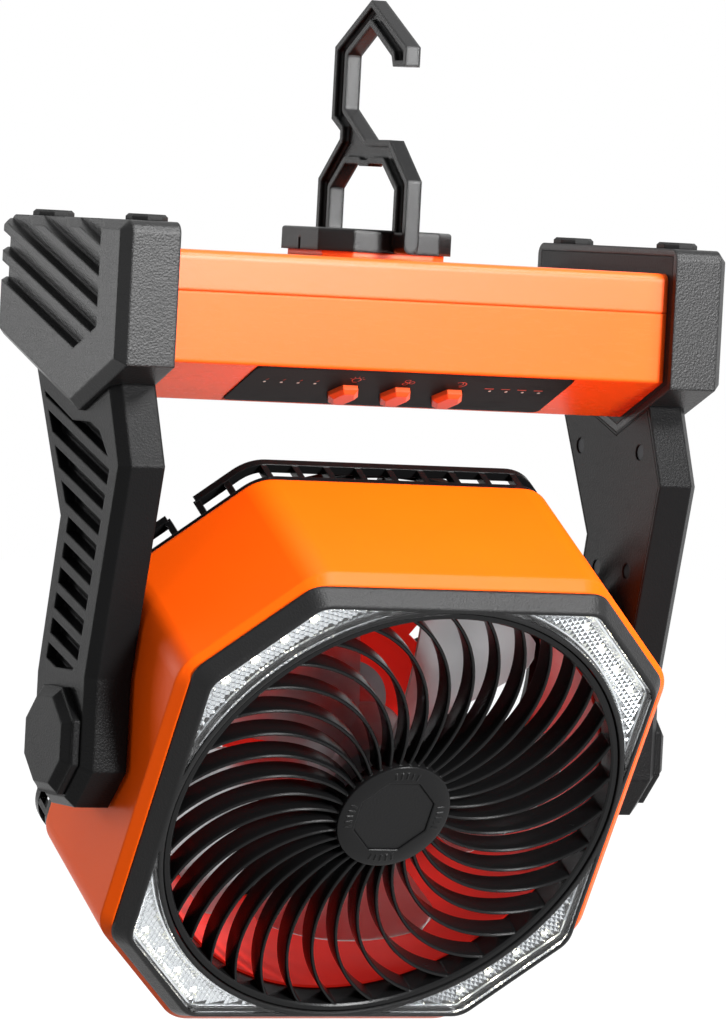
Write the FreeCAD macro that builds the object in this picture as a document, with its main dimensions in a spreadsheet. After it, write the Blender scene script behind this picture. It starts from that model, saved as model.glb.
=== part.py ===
import FreeCAD, Part
import math
import os
import Sketcher

# Portable camping fan, hanging from its fold-out hook.
# A battery bar with two end caps carries two bent arms, and an eight-sided fan
# head tilts between them. The hook stands on the bar's upper side. Lengths are in
# millimetres. X runs along the bar, the front faces -Y, and Z points up. The
# origin is the saddle of the hook, where it sits on what it hangs from.

V = FreeCAD.Vector

doc = FreeCAD.newDocument("camping_fan")
sheet = doc.addObject("Spreadsheet::Sheet", "sizes")

# Driving sizes: heights of the base are measured from the bar's seam, upwards;
# depths of the head are measured from its tilt axis, towards its front.
SIZES = [
    # the hanging pose
    ("saddle_height", 103.5), ("tilt_angle", 30.4), ("pivot_depth", 7.5), ("pivot_drop", 169.7),
    # end caps
    ("overall_width", 255.0), ("cap_width", 23.1), ("cap_depth", 112.0), ("cap_top", 25.0),
    ("cap_front_low", 28.4), ("keel_depth", 15.6), ("keel_drop", 46.5), ("cap_back_low", 20.6),
    ("edge_chamfer", 3.7), ("cap_wall", 3.0), ("lid_thick", 2.0), ("lid_gap", 0.15), ("cap_hollow", 13.0),
    ("edge_round", 1.2), ("cap_round", 4.6),
    # diagonal ribs of caps and arms
    ("rib_rise", 0.344), ("groove_depth", 4.6), ("rib_land", 4.0), ("cap_rib_pitch", 11.3),
    ("arm_rib_pitch", 10.35), ("groove_start", 35.5), ("groove_corner", 15.0), ("arm_strip", 7.0),
    ("cap_groove_edge", 15.0), ("arm_groove_edge", 51.0),
    # bar between the caps
    ("bar_setback", 6.2), ("bar_top", 15.3), ("bar_front_low", 26.2), ("bar_keel_depth", 17.6),
    ("bar_keel_drop", 40.7), ("bar_back_low", 16.4), ("bar_wall", 2.4), ("bar_round", 3.0),
    ("seam_edge", 0.7),
    # control panel and buttons
    ("panel_half", 67.0), ("panel_length", 32.4), ("panel_inset", 1.0), ("panel_thick", 1.6),
    ("panel_round", 2.5), ("button_spacing", 22.0), ("button_length", 13.6), ("button_width", 12.4),
    ("button_row", 21.5), ("button_proud", 3.4), ("button_stem", 3.0), ("button_travel", 0.8),
    ("button_gap", 0.2), ("button_flange", 1.0), ("lamp_dot", 1.3), ("lamp_spacing", 7.0),
    ("lamp_centre", 47.5), ("lamp_row", 14.5), ("board_thick", 1.6), ("switch_size", 6.0),
    ("switch_height", 2.6), ("board_half", 60.0), ("board_length", 26.0),
    # battery
    ("cell_radius", 10.6), ("cell_length", 70.0), ("cell_spacing", 22.0), ("cell_count", 4),
    ("tray_wall", 1.6), ("tray_rise", 7.0), ("cell_gap", 0.15), ("post_wide", 5.0),
    # sockets in the back
    ("socket_width", 9.4), ("socket_height", 3.6), ("socket_depth", 8.0), ("wide_socket_width", 13.6),
    ("wide_socket_height", 6.2), ("socket_spread", 15.0), ("socket_level", -3.7), ("socket_wall", 0.5),
    # hook
    ("hook_width", 6.1), ("hook_recess", 2.4), ("hook_rim", 2.3), ("leg_outer", 37.7), ("leg_inner", 26.9),
    ("leg_end", 17.5), ("leg_top", 45.0), ("leg_inner_top", 41.5), ("loop_top", 60.3),
    ("loop_inner_top", 51.3), ("loop_shoulder", 21.0), ("loop_inner_shoulder", 15.5),
    ("throat_inner", 18.0), ("throat_outer", 29.0),
    ("throat_low", 72.0), ("throat_high", 92.3), ("roof_eave", 95.5), ("roof_ridge", 113.3),
    ("tip_low", 88.0), ("tip_outer", 31.0), ("tip_inner", 20.5), ("neck_low", 68.0),
    ("pin_radius", 1.5), ("pin_gap", 0.05), ("pin_height", 20.5), ("pin_end", 4.0),
    # hook block
    ("block_half_x", 28.3), ("block_half_y", 25.8), ("block_corner", 10.3), ("block_low", 17.5),
    ("block_high", 26.2), ("foot_inset", 2.4), ("block_slot", 1.7), ("slot_height", 4.5), ("slot_depth", 4.0),
    # feet
    ("foot_flats", 14.5), ("foot_height", 2.4), ("foot_spread", 41.5), ("foot_across", 112.0),
    ("foot_edge", 1.0),
    # arms
    ("arm_thick", 17.3), ("arm_front_top", 40.2), ("elbow_front", 52.3), ("elbow_front_drop", 65.2),
    ("wrist_drop", 145.3), ("elbow_back", 4.0), ("elbow_back_drop", 87.0), ("arm_back_top", 34.0),
    ("boss_flats", 49.2), ("cover_thick", 2.4), ("cover_inset", 1.4), ("arm_wall", 2.4), ("arm_floor", 2.2),
    ("screw_radius", 1.5), ("screw_head", 2.9), ("screw_head_high", 1.8), ("screw_sink", 0.5),
    ("screw_length", 7.5), ("post_radius", 3.6),
    # tilt knobs and pivots
    ("knob_flats", 40.0), ("knob_face", 32.0), ("knob_base", 3.1), ("knob_height", 6.2), ("knob_groove", 0.7),
    ("knob_spigot", 3.0), ("pivot_radius", 8.0), ("pivot_bore", 4.0), ("bush_wall", 2.0), ("pivot_gap", 0.06),
    ("washer_radius", 14.0), ("washer_gap", 0.2),
    # head shell
    ("head_gap", 1.9), ("head_cut", 43.5), ("head_front", 40.5), ("head_back", 24.6), ("head_wall", 2.6),
    ("head_round", 16.0), ("head_chamfer", 3.6), ("back_wall", 2.6), ("head_lip", 2.5), ("lip_step", 5.1),
    # air duct
    ("duct_wall", 1.8), ("duct_front", 35.4), ("duct_seat", 0.9),
    # bezel
    ("bezel_foot_step", 4.1), ("bezel_step", 8.5), ("bezel_front", 47.0), ("bezel_rim", 1.8),
    ("bezel_gap", 0.15), ("bezel_skirt", 2.5),
    # lenses and lamps
    ("lens_step", 1.5), ("lens_ring", 2.0), ("lens_thick", 4.2), ("lens_round", 9.0), ("lens_gap", 0.12),
    ("lens_drop", 0.3), ("chip_size", 3.0), ("chip_high", 0.8), ("chip_pitch", 13.2),
    ("led_board_thick", 1.2), ("led_board_edge", 1.2), ("ledge", 1.0),
    # front grille
    ("ring_gap", 0.3), ("ring_wall", 3.0), ("ring_depth", 11.0), ("grille_front", 46.4), ("hub_radius", 23.0),
    ("hub_thick", 6.0), ("hub_front", 47.4), ("vane_count", 36), ("vane_width", 1.5), ("vane_depth", 8.0),
    ("vane_drop", 0.6), ("vane_radius", 51.0), ("vane_centre_out", 34.6), ("vane_centre_side", 49.3),
    ("vane_steps", 6), ("plate_flats", 30.0), ("plate_recess", 0.7), ("plate_thick", 1.6), ("plate_gap", 0.1),
    # rotor
    ("blade_count", 5), ("tip_gap", 7.0), ("blade_thick", 1.5), ("blade_rise", 20.0), ("blade_sweep", 50.0),
    ("blade_low", 4.5), ("blade_camber", 75.0), ("rotor_cup", 21.5), ("rotor_wall", 1.8),
    ("rotor_front", 30.0), ("rotor_back", 2.0), ("shaft_radius", 2.0), ("shaft_gap", 0.05),
    ("nut_radius", 5.0), ("nut_thick", 3.5),
    # motor
    ("motor_radius", 18.5), ("motor_front", 22.0), ("motor_flange", 24.0),
    ("flange_thick", 2.0), ("shaft_back", 18.0), ("shaft_front", 34.0),
    # rear grille
    ("cage_step", 0.1), ("cage_band", 3.6), ("cage_rim", 4.2), ("cage_back", 39.4),
    ("cage_base", 2.6), ("strut_width", 2.6), ("strut_pitch", 13.2), ("strut_inset", 0.3),
    ("corner_gap", 12.6), ("slat_count", 18), ("slat_width", 2.2), ("slat_depth", 3.6),
    ("mount_radius", 27.0), ("mount_floor", 2.4), ("tie_ring", 60.0), ("tie_width", 2.0),
]
for row, (alias, number) in enumerate(SIZES, start=1):
    sheet.set("A%d" % row, alias)
    sheet.set("B%d" % row, str(number))
    sheet.setAlias("B%d" % row, alias)
doc.recompute()


# Sizes that follow from the driving ones, so that the pieces keep together
DERIVED = {
    "head_half": "overall_width / 2 - cap_width - head_gap",
    "head_flat": "head_half - head_cut",
    "lip_half": "head_half - lip_step",
    "lip_flat": "head_flat - 0.4142 * lip_step",
    "bezel_half": "head_half - bezel_step",
    "bezel_flat": "head_flat - 0.5",
    "bezel_foot": "head_half - bezel_foot_step",
    "bezel_opening": "bezel_half - bezel_rim",
    "lens_half": "bezel_half - lens_step",
    "lens_flat": "bezel_flat - 0.7 * lens_step",
    "lens_inner": "bezel_opening + lens_ring",
    "chip_reach": "0.5 * lens_inner + 0.35355 * (lens_half + lens_flat)",
    "ring_outer": "bezel_opening - ring_gap",
    "duct_radius": "ring_outer - ring_wall - duct_seat",
    "back_opening": "duct_radius + 1",
    "blade_tip": "duct_radius - tip_gap",
    "blade_root": "rotor_cup - 0.5 * rotor_wall",
    "cage_half": "head_half - cage_step",
    "cage_flat": "head_flat - 1",
    "screw_corner": "0.70711 * chip_reach",
}
ALIASES = {alias for alias, number in SIZES}


def spell(expression, prefix):
    """Write derived names out, and put a prefix before each name of the sheet."""
    written = ""
    word = ""
    for letter in expression + " ":
        if letter.isalnum() or letter == "_":
            word += letter
            continue
        if word in DERIVED:
            word = "(%s)" % spell(DERIVED[word], prefix)
        if word in ALIASES:
            word = prefix + word
        written += word + letter
        word = ""
    return written.strip()


def size(expression):
    """The value of an expression of named sizes, in mm or degrees."""
    found = sheet.evalExpression(spell(expression, ""))
    return float(getattr(found, "Value", found))


def bind(expression):
    """The same expression as another object of the document has to write it."""
    return spell(expression, "sizes.")


parts = []


def keep(shape_owner, name, placement=None):
    """Name a finished sub-part, place it, and put it on the list to write."""
    shape_owner.Label = name
    if placement is not None:
        shape_owner.Placement = placement
    parts.append(shape_owner)
    return shape_owner


def origin_plane(body, role):
    return [item for item in body.Origin.OriginFeatures if item.Role == role][0]


def new_sketch(body, name, role, lift="0"):
    """An empty sketch on one of the body's own planes, raised by lift."""
    sketch = body.newObject("Sketcher::SketchObject", name)
    sketch.AttachmentSupport = [(origin_plane(body, role), "")]
    sketch.MapMode = "FlatFace"
    sketch.setExpression("AttachmentOffset.Base.z", bind(lift))
    return sketch


def add_outline(sketch, corners):
    """A closed outline through corners, each a pair of expressions."""
    first = sketch.GeometryCount
    count = len(corners)
    spots = [V(size(u), size(v), 0) for u, v in corners]
    for index in range(count):
        sketch.addGeometry(Part.LineSegment(spots[index], spots[(index + 1) % count]), False)
    for index in range(count):
        following = first + (index + 1) % count
        sketch.addConstraint(Sketcher.Constraint("Coincident", first + index, 2, following, 1))
    for index in range(count):
        edge = first + index
        across = sketch.addConstraint(
            Sketcher.Constraint("DistanceX", -1, 1, edge, 1, spots[index].x))
        sketch.setExpression("Constraints[%d]" % across, bind(corners[index][0]))
        up = sketch.addConstraint(Sketcher.Constraint("DistanceY", -1, 1, edge, 1, spots[index].y))
        sketch.setExpression("Constraints[%d]" % up, bind(corners[index][1]))


def add_circle(sketch, radius, across="0", up="0"):
    """A circle with its centre and radius tied to the sheet."""
    edge = sketch.GeometryCount
    centre = V(size(across), size(up), 0)
    sketch.addGeometry(Part.Circle(centre, V(0, 0, 1), size(radius)), False)
    rule = sketch.addConstraint(Sketcher.Constraint("Radius", edge, size(radius)))
    sketch.setExpression("Constraints[%d]" % rule, bind(radius))
    rule = sketch.addConstraint(Sketcher.Constraint("DistanceX", -1, 1, edge, 3, centre.x))
    sketch.setExpression("Constraints[%d]" % rule, bind(across))
    rule = sketch.addConstraint(Sketcher.Constraint("DistanceY", -1, 1, edge, 3, centre.y))
    sketch.setExpression("Constraints[%d]" % rule, bind(up))


def add_small_round(sketch, radius, across="0", up="0", sides=8):
    """A small round about a point, drawn with flat sides, for screws, posts and their holes."""
    turns = [math.radians(360.0 / sides * k) for k in range(sides)]
    corners = [(math.cos(turn), math.sin(turn)) for turn in turns]
    add_outline(sketch, [("%s + (%s) * (%.6f)" % (across, radius, c), "%s + (%s) * (%.6f)" % (up, radius, s))
                         for c, s in corners])


def new_body(name):
    return doc.addObject("PartDesign::Body", name)


def pad(body, name, sketch, length, symmetric=False, reverse=False):
    feature = body.newObject("PartDesign::Pad", name)
    feature.Profile = sketch
    feature.setExpression("Length", bind(length))
    if symmetric:
        feature.SideType = "Symmetric"
    feature.Reversed = reverse
    doc.recompute()
    return feature


def pocket(body, name, sketch, length, symmetric=False, reverse=False):
    """A pocket that has to take something away."""
    before = body.Shape.Volume
    feature = body.newObject("PartDesign::Pocket", name)
    feature.Profile = sketch
    feature.setExpression("Length", bind(length))
    if symmetric:
        feature.SideType = "Symmetric"
    feature.Reversed = reverse
    doc.recompute()
    if body.Shape.Volume > before - 0.001:
        raise RuntimeError("pocket %s cuts nothing" % name)
    return feature


def block(body_name, role, lift, corners, length, symmetric=False):
    """A body that is one padded outline."""
    body = new_body(body_name)
    sketch = new_sketch(body, body_name + "_outline", role, lift)
    add_outline(sketch, corners)
    pad(body, body_name + "_pad", sketch, length, symmetric)
    return body


def dress(body, kind, name, measure, wanted):
    """A fillet or chamfer on the edges that wanted picks by their two ends."""
    edges = []
    for index, edge in enumerate(body.Shape.Edges, start=1):
        ends = [vertex.Point for vertex in edge.Vertexes]
        if ends and wanted(ends[0], ends[-1]):
            edges.append("Edge%d" % index)
    if not edges:
        raise RuntimeError("no edge found for %s" % name)
    base = body.Tip
    feature = body.newObject("PartDesign::" + kind, name)
    feature.Base = (base, edges)
    feature.setExpression("Radius" if kind == "Fillet" else "Size", bind(measure))
    doc.recompute()
    return feature


def near(first, second, slack=0.01):
    return abs(first - second) < slack


def octagon(half, flat):
    """A square of the given half width with its corners cut, as expressions."""
    h = "(%s)" % half
    f = "(%s)" % flat
    return [("-" + f, h), ("-" + h, f), ("-" + h, "-" + f), ("-" + f, "-" + h),
            (f, "-" + h), (h, "-" + f), (h, f), (f, h)]


def boolean(kind, name, base, *tools):
    """Part's own cut, fuse or common of finished objects."""
    if kind == "Cut" or len(tools) == 1 and kind != "MultiFuse":
        result = doc.addObject("Part::" + kind, name)
        result.Base = base
        result.Tool = tools[0]
    else:
        result = doc.addObject("Part::Multi" + kind.replace("Multi", ""), name)
        result.Shapes = [base] + list(tools)
    doc.recompute()
    return result


def gather(name, objects):
    """Identical loose pieces as one sub-part of separate solids."""
    group = doc.addObject("Part::Compound", name)
    group.Links = objects
    doc.recompute()
    return group


def from_shape(name, shape):
    feature = doc.addObject("Part::Feature", name)
    feature.Shape = shape
    return feature


BASE = FreeCAD.Placement(V(0, 0, -size("saddle_height")), FreeCAD.Rotation())
HEAD = FreeCAD.Placement(
    V(0, -size("pivot_depth"), -size("saddle_height") - size("pivot_drop")),
    FreeCAD.Rotation(V(1, 0, 0), size("tilt_angle")))
panel_slope = math.degrees(math.atan2(size("bar_keel_drop - bar_front_low"),
                                      size("cap_depth / 2 - bar_setback - bar_keel_depth")))
PANEL = FreeCAD.Placement(
    V(0, -size("cap_depth / 2 - bar_setback"), -size("saddle_height") - size("bar_front_low")),
    FreeCAD.Rotation(V(1, 0, 0), -panel_slope))

CAP_INNER = "(overall_width / 2 - cap_width)"
BAR_HALF = "(cap_depth / 2 - bar_setback)"


def cap_section(inset="0"):
    """The cap's five-sided section, as (depth, height), drawn in by inset."""
    return [("-(cap_depth / 2 - %s)" % inset, "cap_top - " + inset),
            ("-(cap_depth / 2 - %s)" % inset, "-(cap_front_low - 0.65 * %s)" % inset),
            ("-keel_depth", "-(keel_drop - 1.07 * %s)" % inset),
            ("cap_depth / 2 - " + inset, "-(cap_back_low - 0.7 * %s)" % inset),
            ("cap_depth / 2 - " + inset, "cap_top - " + inset)]


def bar_section(inset="0", top="bar_top"):
    """The bar's section between the caps, drawn in by inset."""
    return [("-(%s - %s)" % (BAR_HALF, inset), top),
            ("-(%s - %s)" % (BAR_HALF, inset), "-(bar_front_low - 0.64 * %s)" % inset),
            ("-bar_keel_depth", "-(bar_keel_drop - 1.07 * %s)" % inset),
            ("%s - %s" % (BAR_HALF, inset), "-(bar_back_low - 0.7 * %s)" % inset),
            ("%s - %s" % (BAR_HALF, inset), top)]


# Ribbed relief: sloping grooves inside a window, shared by caps and arms
def groove_comb(name, pitch, first_edge, count, lift):
    """Sloping bars as deep as the grooves, one pitch apart in height."""
    reach = "overall_width"
    high = "(%s - rib_land)" % pitch
    body = new_body(name)
    sketch = new_sketch(body, name + "_bar", "YZ_Plane", lift)
    low_end = "(%s - rib_rise * %s)" % (first_edge, reach)
    high_end = "(%s + rib_rise * %s)" % (first_edge, reach)
    add_outline(sketch, [("-groove_start - " + reach, low_end), ("-groove_start + " + reach, high_end),
                         ("-groove_start + " + reach, high_end + " + " + high),
                         ("-groove_start - " + reach, low_end + " + " + high)])
    one = pad(body, name + "_one", sketch, "2 * groove_depth", symmetric=True)
    rows = body.newObject("PartDesign::LinearPattern", name + "_rows")
    rows.Originals = [one]
    rows.Direction = (sketch, ["V_Axis"])
    rows.Reversed = True
    rows.setExpression("Length", bind("%s * %d" % (pitch, count - 1)))
    rows.Occurrences = count
    body.Tip = rows
    doc.recompute()
    return body


def end_cap(side, name):
    """A solid five-sided cap, hollowed from inside, with ribs on its outer face."""
    outer = side * size("overall_width / 2")
    inner_lift = CAP_INNER if side > 0 else "-" + CAP_INNER + " - cap_width"
    body = new_body(name + "_blank")
    sketch = new_sketch(body, name + "_section", "YZ_Plane", inner_lift)
    add_outline(sketch, cap_section())
    pad(body, name + "_pad", sketch, "cap_width")
    dress(body, "Fillet", name + "_top_round", "cap_round",
          lambda a, b: near(a.z, b.z) and near(a.z, size("cap_top")) and near(a.y, b.y))
    dress(body, "Chamfer", name + "_edge", "edge_chamfer",
          lambda a, b: near(a.x, outer) and near(b.x, outer) and a.distanceToPoint(b) > size("2 * cap_round"))
    hollow_lift = CAP_INNER if side > 0 else "-" + CAP_INNER + " - cap_hollow"
    sketch = new_sketch(body, name + "_hollow", "YZ_Plane", hollow_lift)
    add_outline(sketch, cap_section("(2 * cap_wall)"))
    pocket(body, name + "_hollow_cut", sketch, "cap_hollow", reverse=True)
    seat_lift = CAP_INNER if side > 0 else "-" + CAP_INNER + " - lid_thick"
    sketch = new_sketch(body, name + "_seat", "YZ_Plane", seat_lift)
    add_outline(sketch, cap_section("(cap_wall - lid_gap)"))
    pocket(body, name + "_seat_cut", sketch, "lid_thick", reverse=True)
    window = block(name + "_window", "YZ_Plane", "%d * overall_width / 2" % side,
                   [("-groove_start", "2 * cap_top"), ("-groove_start", "-groove_corner"),
                    ("-groove_start + 21.5", "-groove_corner - 9.5"),
                    ("cap_depth", "-groove_corner - 9.5 + rib_rise * (cap_depth + groove_start - 21.5)"),
                    ("cap_depth", "2 * cap_top")],
                   "2 * groove_depth", symmetric=True)
    comb = groove_comb(name + "_comb", "cap_rib_pitch", "cap_groove_edge + cap_rib_pitch", 7,
                       "%d * overall_width / 2" % side)
    grooves = boolean("Common", name + "_grooves", window, comb)
    cap = boolean("Cut", name, body, grooves)
    return keep(cap, name, BASE)


def cap_lid(side, name):
    """The flat lid that closes a cap on its inner side."""
    lift = CAP_INNER if side > 0 else "-" + CAP_INNER + " - lid_thick"
    body = block(name + "_body", "YZ_Plane", lift, cap_section("cap_wall"), "lid_thick")
    return keep(body, name, BASE)


end_cap(-1, "left_end_cap")
end_cap(1, "right_end_cap")
cap_lid(-1, "left_cap_lid")
cap_lid(1, "right_cap_lid")


# Bar: a deep lower shell and an upper cover that meet at the seam
def rounded_along_x(body, name, radius, heights):
    dress(body, "Fillet", name, radius,
          lambda a, b: near(a.y, b.y) and near(a.z, b.z) and any(near(a.z, z) for z in heights)
          and abs(a.x - b.x) > size("overall_width / 2"))


def base_housing():
    body = block("base_housing_body", "YZ_Plane", "-" + CAP_INNER, bar_section("0", "0"), "2 * " + CAP_INNER)
    rounded_along_x(body, "base_low_round", "edge_round",
                    [-size("bar_front_low"), -size("bar_keel_drop"), -size("bar_back_low")])
    sketch = new_sketch(body, "base_room", "YZ_Plane", "-%s + bar_wall" % CAP_INNER)
    add_outline(sketch, bar_section("bar_wall", "bar_top"))
    pocket(body, "base_room_cut", sketch, "2 * (%s - bar_wall)" % CAP_INNER, reverse=True)
    return body


housing_body = base_housing()


def panel_box(name, low_x, high_x, low_y, high_y, low_z, high_z):
    """A box in the panel's own frame: x along the bar, y down the slope, z inwards."""
    body = block(name, "XY_Plane", low_z,
                 [(low_x, low_y), (high_x, low_y), (high_x, high_y), (low_x, high_y)],
                 "(%s) - (%s)" % (high_z, low_z))
    return body


def base_frame_tool(body):
    """Bring a body drawn in the panel's frame into the base's frame."""
    body.Placement = BASE.inverse().multiply(PANEL)
    doc.recompute()
    return body


panel_seat = base_frame_tool(panel_box("panel_seat", "-panel_half", "panel_half", "panel_inset",
                                       "panel_inset + panel_length", "-bar_wall", "panel_thick - 0.4"))


def lamp_places():
    """Two rows of four lamps, left and right of the buttons."""
    return ["%d * lamp_centre + %s * lamp_spacing" % (side, step)
            for side in (-1, 1) for step in ("(-1.5)", "(-0.5)", "0.5", "1.5")]


window = base_frame_tool(panel_box("switch_window", "-button_spacing - button_width",
                                   "button_spacing + button_width", "button_row - button_length",
                                   "button_row + 0.5 * button_length + 1", "0", "3 * bar_wall"))
back = "%s - bar_wall - 0.5 * socket_depth" % BAR_HALF


def socket_box(name, centre, width, height, grow, lift, length):
    half_wide = "(0.5 * %s + %s)" % (width, grow)
    half_high = "(0.5 * %s + %s)" % (height, grow)
    return block(name, "XZ_Plane", lift,
                 [("%s - %s" % (centre, half_wide), "socket_level - " + half_high),
                  ("%s + %s" % (centre, half_wide), "socket_level - " + half_high),
                  ("%s + %s" % (centre, half_wide), "socket_level + " + half_high),
                  ("%s - %s" % (centre, half_wide), "socket_level + " + half_high)], length)


SOCKETS = (("narrow", "-socket_spread", "socket_width", "socket_height"),
           ("wide", "socket_spread", "wide_socket_width", "wide_socket_height"))
lamp_windows = []
for side in (-1, 1):
    reach = "(1.5 * lamp_spacing + lamp_dot)"
    lamp_windows.append(base_frame_tool(panel_box(
        "lamp_window", "%d * lamp_centre - %s" % (side, reach), "%d * lamp_centre + %s" % (side, reach),
        "lamp_row - lamp_dot", "lamp_row + lamp_dot", "0", "3 * bar_wall")))
socket_cuts = []
socket_shells = []
for label, centre, width, height in SOCKETS:
    socket_cuts.append(socket_box(label + "_socket_hole", centre, width, height, "0.05",
                                  "-%s - 1" % BAR_HALF, "bar_wall + 2"))
    shell = socket_box(label + "_socket_block", centre, width, height, "0",
                       "-(%s - 0.3)" % BAR_HALF, "socket_depth")
    mouth = socket_box(label + "_socket_mouth", centre, width, height, "(-socket_wall)",
                       "-(%s + 1)" % BAR_HALF, "socket_depth - 1")
    socket_shells.append(boolean("Cut", label + "_socket", shell, mouth))
SWITCH_TOP = "(panel_thick - 0.4 + 0.1 + button_flange + button_travel + 1 + button_travel)"
BOARD_TOP = "(%s + switch_height)" % SWITCH_TOP
board_posts = []
for side in (-1, 1):
    for row in ("7", "24"):
        x = "%d * (board_half - post_wide)" % side
        board_posts.append(base_frame_tool(panel_box(
            "board_post", x + " - 0.5 * post_wide", x + " + 0.5 * post_wide", row + " - 0.5 * post_wide",
            row + " + 0.5 * post_wide", "panel_thick - 0.4", BOARD_TOP)))
housing_body = boolean("MultiFuse", "housing_with_posts", housing_body, *board_posts)
housing_tools = boolean("MultiFuse", "housing_tools", panel_seat, window, *(lamp_windows + socket_cuts))
keep(boolean("Cut", "base_housing", housing_body, housing_tools), "base_housing", BASE)
keep(gather("usb_sockets", socket_shells), "usb_sockets", BASE)


def base_cover():
    """The upper shell, with the low eight-sided foot that the hook block stands on."""
    body = new_body("base_cover_body")
    sketch = new_sketch(body, "cover_section", "YZ_Plane", "-" + CAP_INNER)
    half = BAR_HALF
    add_outline(sketch, [("-" + half, "0"), (half, "0"), (half, "bar_top"), ("-" + half, "bar_top")])
    pad(body, "cover_pad", sketch, "2 * " + CAP_INNER)
    rounded_along_x(body, "cover_round", "bar_round", [size("bar_top")])
    dress(body, "Chamfer", "cover_seam", "seam_edge",
          lambda a, b: near(a.z, 0) and near(b.z, 0) and near(a.y, b.y))
    sketch = new_sketch(body, "cover_room", "YZ_Plane", "-%s + bar_wall" % CAP_INNER)
    inner = "(%s - bar_wall)" % half
    add_outline(sketch, [("-" + inner, "-1"), (inner, "-1"), (inner, "bar_top - bar_wall"),
                         ("-" + inner, "bar_top - bar_wall")])
    pocket(body, "cover_room_cut", sketch, "2 * (%s - bar_wall)" % CAP_INNER, reverse=True)
    sketch = new_sketch(body, "cover_foot", "XY_Plane", "bar_top - bar_wall")
    add_outline(sketch, cut_rectangle("block_half_x - foot_inset", "block_half_y - foot_inset",
                                      "block_corner - 0.6 * foot_inset"))
    pad(body, "cover_foot_pad", sketch, "block_low - bar_top + bar_wall")
    return keep(body, "base_cover", BASE)


def cut_rectangle(half_x, half_y, corner):
    """A rectangle about the origin with its four corners cut at 45 degrees."""
    x, y, c = "(%s)" % half_x, "(%s)" % half_y, "(%s)" % corner
    return [("-%s + %s" % (x, c), "-" + y), ("%s - %s" % (x, c), "-" + y), (x, "-%s + %s" % (y, c)),
            (x, "%s - %s" % (y, c)), ("%s - %s" % (x, c), y), ("-%s + %s" % (x, c), y),
            ("-" + x, "%s - %s" % (y, c)), ("-" + x, "-%s + %s" % (y, c))]


base_cover()


# Control panel, buttons, lamps, switches and their board
def hexagon_button(centre, grow, half_long="0.5 * button_width", half_wide="0.5 * button_length"):
    """A six-sided outline, pointed along the bar."""
    u = "(%s + %s)" % (half_long, grow)
    w = "(%s + %s)" % (half_wide, grow)
    return [("%s - %s" % (centre, u), "button_row"), ("%s - 0.5 * %s" % (centre, u), "button_row - " + w),
            ("%s + 0.5 * %s" % (centre, u), "button_row - " + w), ("%s + %s" % (centre, u), "button_row"),
            ("%s + 0.5 * %s" % (centre, u), "button_row + " + w),
            ("%s - 0.5 * %s" % (centre, u), "button_row + " + w)]


def control_panel():
    body = panel_box("control_panel_body", "-panel_half + 0.1", "panel_half - 0.1", "panel_inset + 0.1",
                     "panel_inset + panel_length - 0.1", "-0.4", "panel_thick - 0.4")
    dress(body, "Fillet", "panel_corners", "panel_round",
          lambda a, b: near(a.x, b.x) and near(a.y, b.y))
    for index in (-1, 0, 1):
        sketch = new_sketch(body, "button_hole_%d" % (index + 2), "XY_Plane", "-1")
        add_outline(sketch, hexagon_button("%d * button_spacing" % index, "button_gap"))
        pocket(body, "button_hole_cut_%d" % (index + 2), sketch, "2 * panel_thick", reverse=True)
    for x in lamp_places():
        sketch = new_sketch(body, "lamp_hole", "XY_Plane", "-1")
        add_small_round(sketch, "0.5 * lamp_dot", x, "lamp_row")
        pocket(body, "lamp_hole_cut", sketch, "2 * panel_thick", reverse=True)
    return keep(body, "control_panel", PANEL)


def button(name, index):
    """A raised six-sided cap with sloping sides, a flange behind the panel and a stem."""
    centre = "%d * button_spacing" % index
    body = new_body(name + "_body")
    sketch = new_sketch(body, name + "_skirt", "XY_Plane", "-0.6 * button_proud")
    add_outline(sketch, hexagon_button(centre, "0"))
    pad(body, name + "_skirt_pad", sketch, "0.6 * button_proud + panel_thick - 0.4 + button_travel")
    crown = new_sketch(body, name + "_crown", "XY_Plane", "-button_proud")
    add_outline(crown, hexagon_button(centre, "(-1.9)"))
    base = new_sketch(body, name + "_crown_base", "XY_Plane", "-0.6 * button_proud")
    add_outline(base, hexagon_button(centre, "0"))
    loft = body.newObject("PartDesign::AdditiveLoft", name + "_slopes")
    loft.Profile = base
    loft.Sections = [crown]
    loft.Ruled = True
    doc.recompute()
    sketch = new_sketch(body, name + "_flange", "XY_Plane", "panel_thick - 0.4 + 0.1")
    add_outline(sketch, hexagon_button(centre, "0.8"))
    pad(body, name + "_flange_pad", sketch, "button_flange")
    sketch = new_sketch(body, name + "_stem", "XY_Plane", "panel_thick - 0.4 + 0.1 + button_flange")
    add_small_round(sketch, "0.5 * button_stem", centre, "button_row")
    pad(body, name + "_stem_pad", sketch, "button_travel + 1")
    return keep(body, name, PANEL)


control_panel()
for name, index in (("light_button", -1), ("fan_button", 0), ("power_button", 1)):
    button(name, index)

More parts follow.
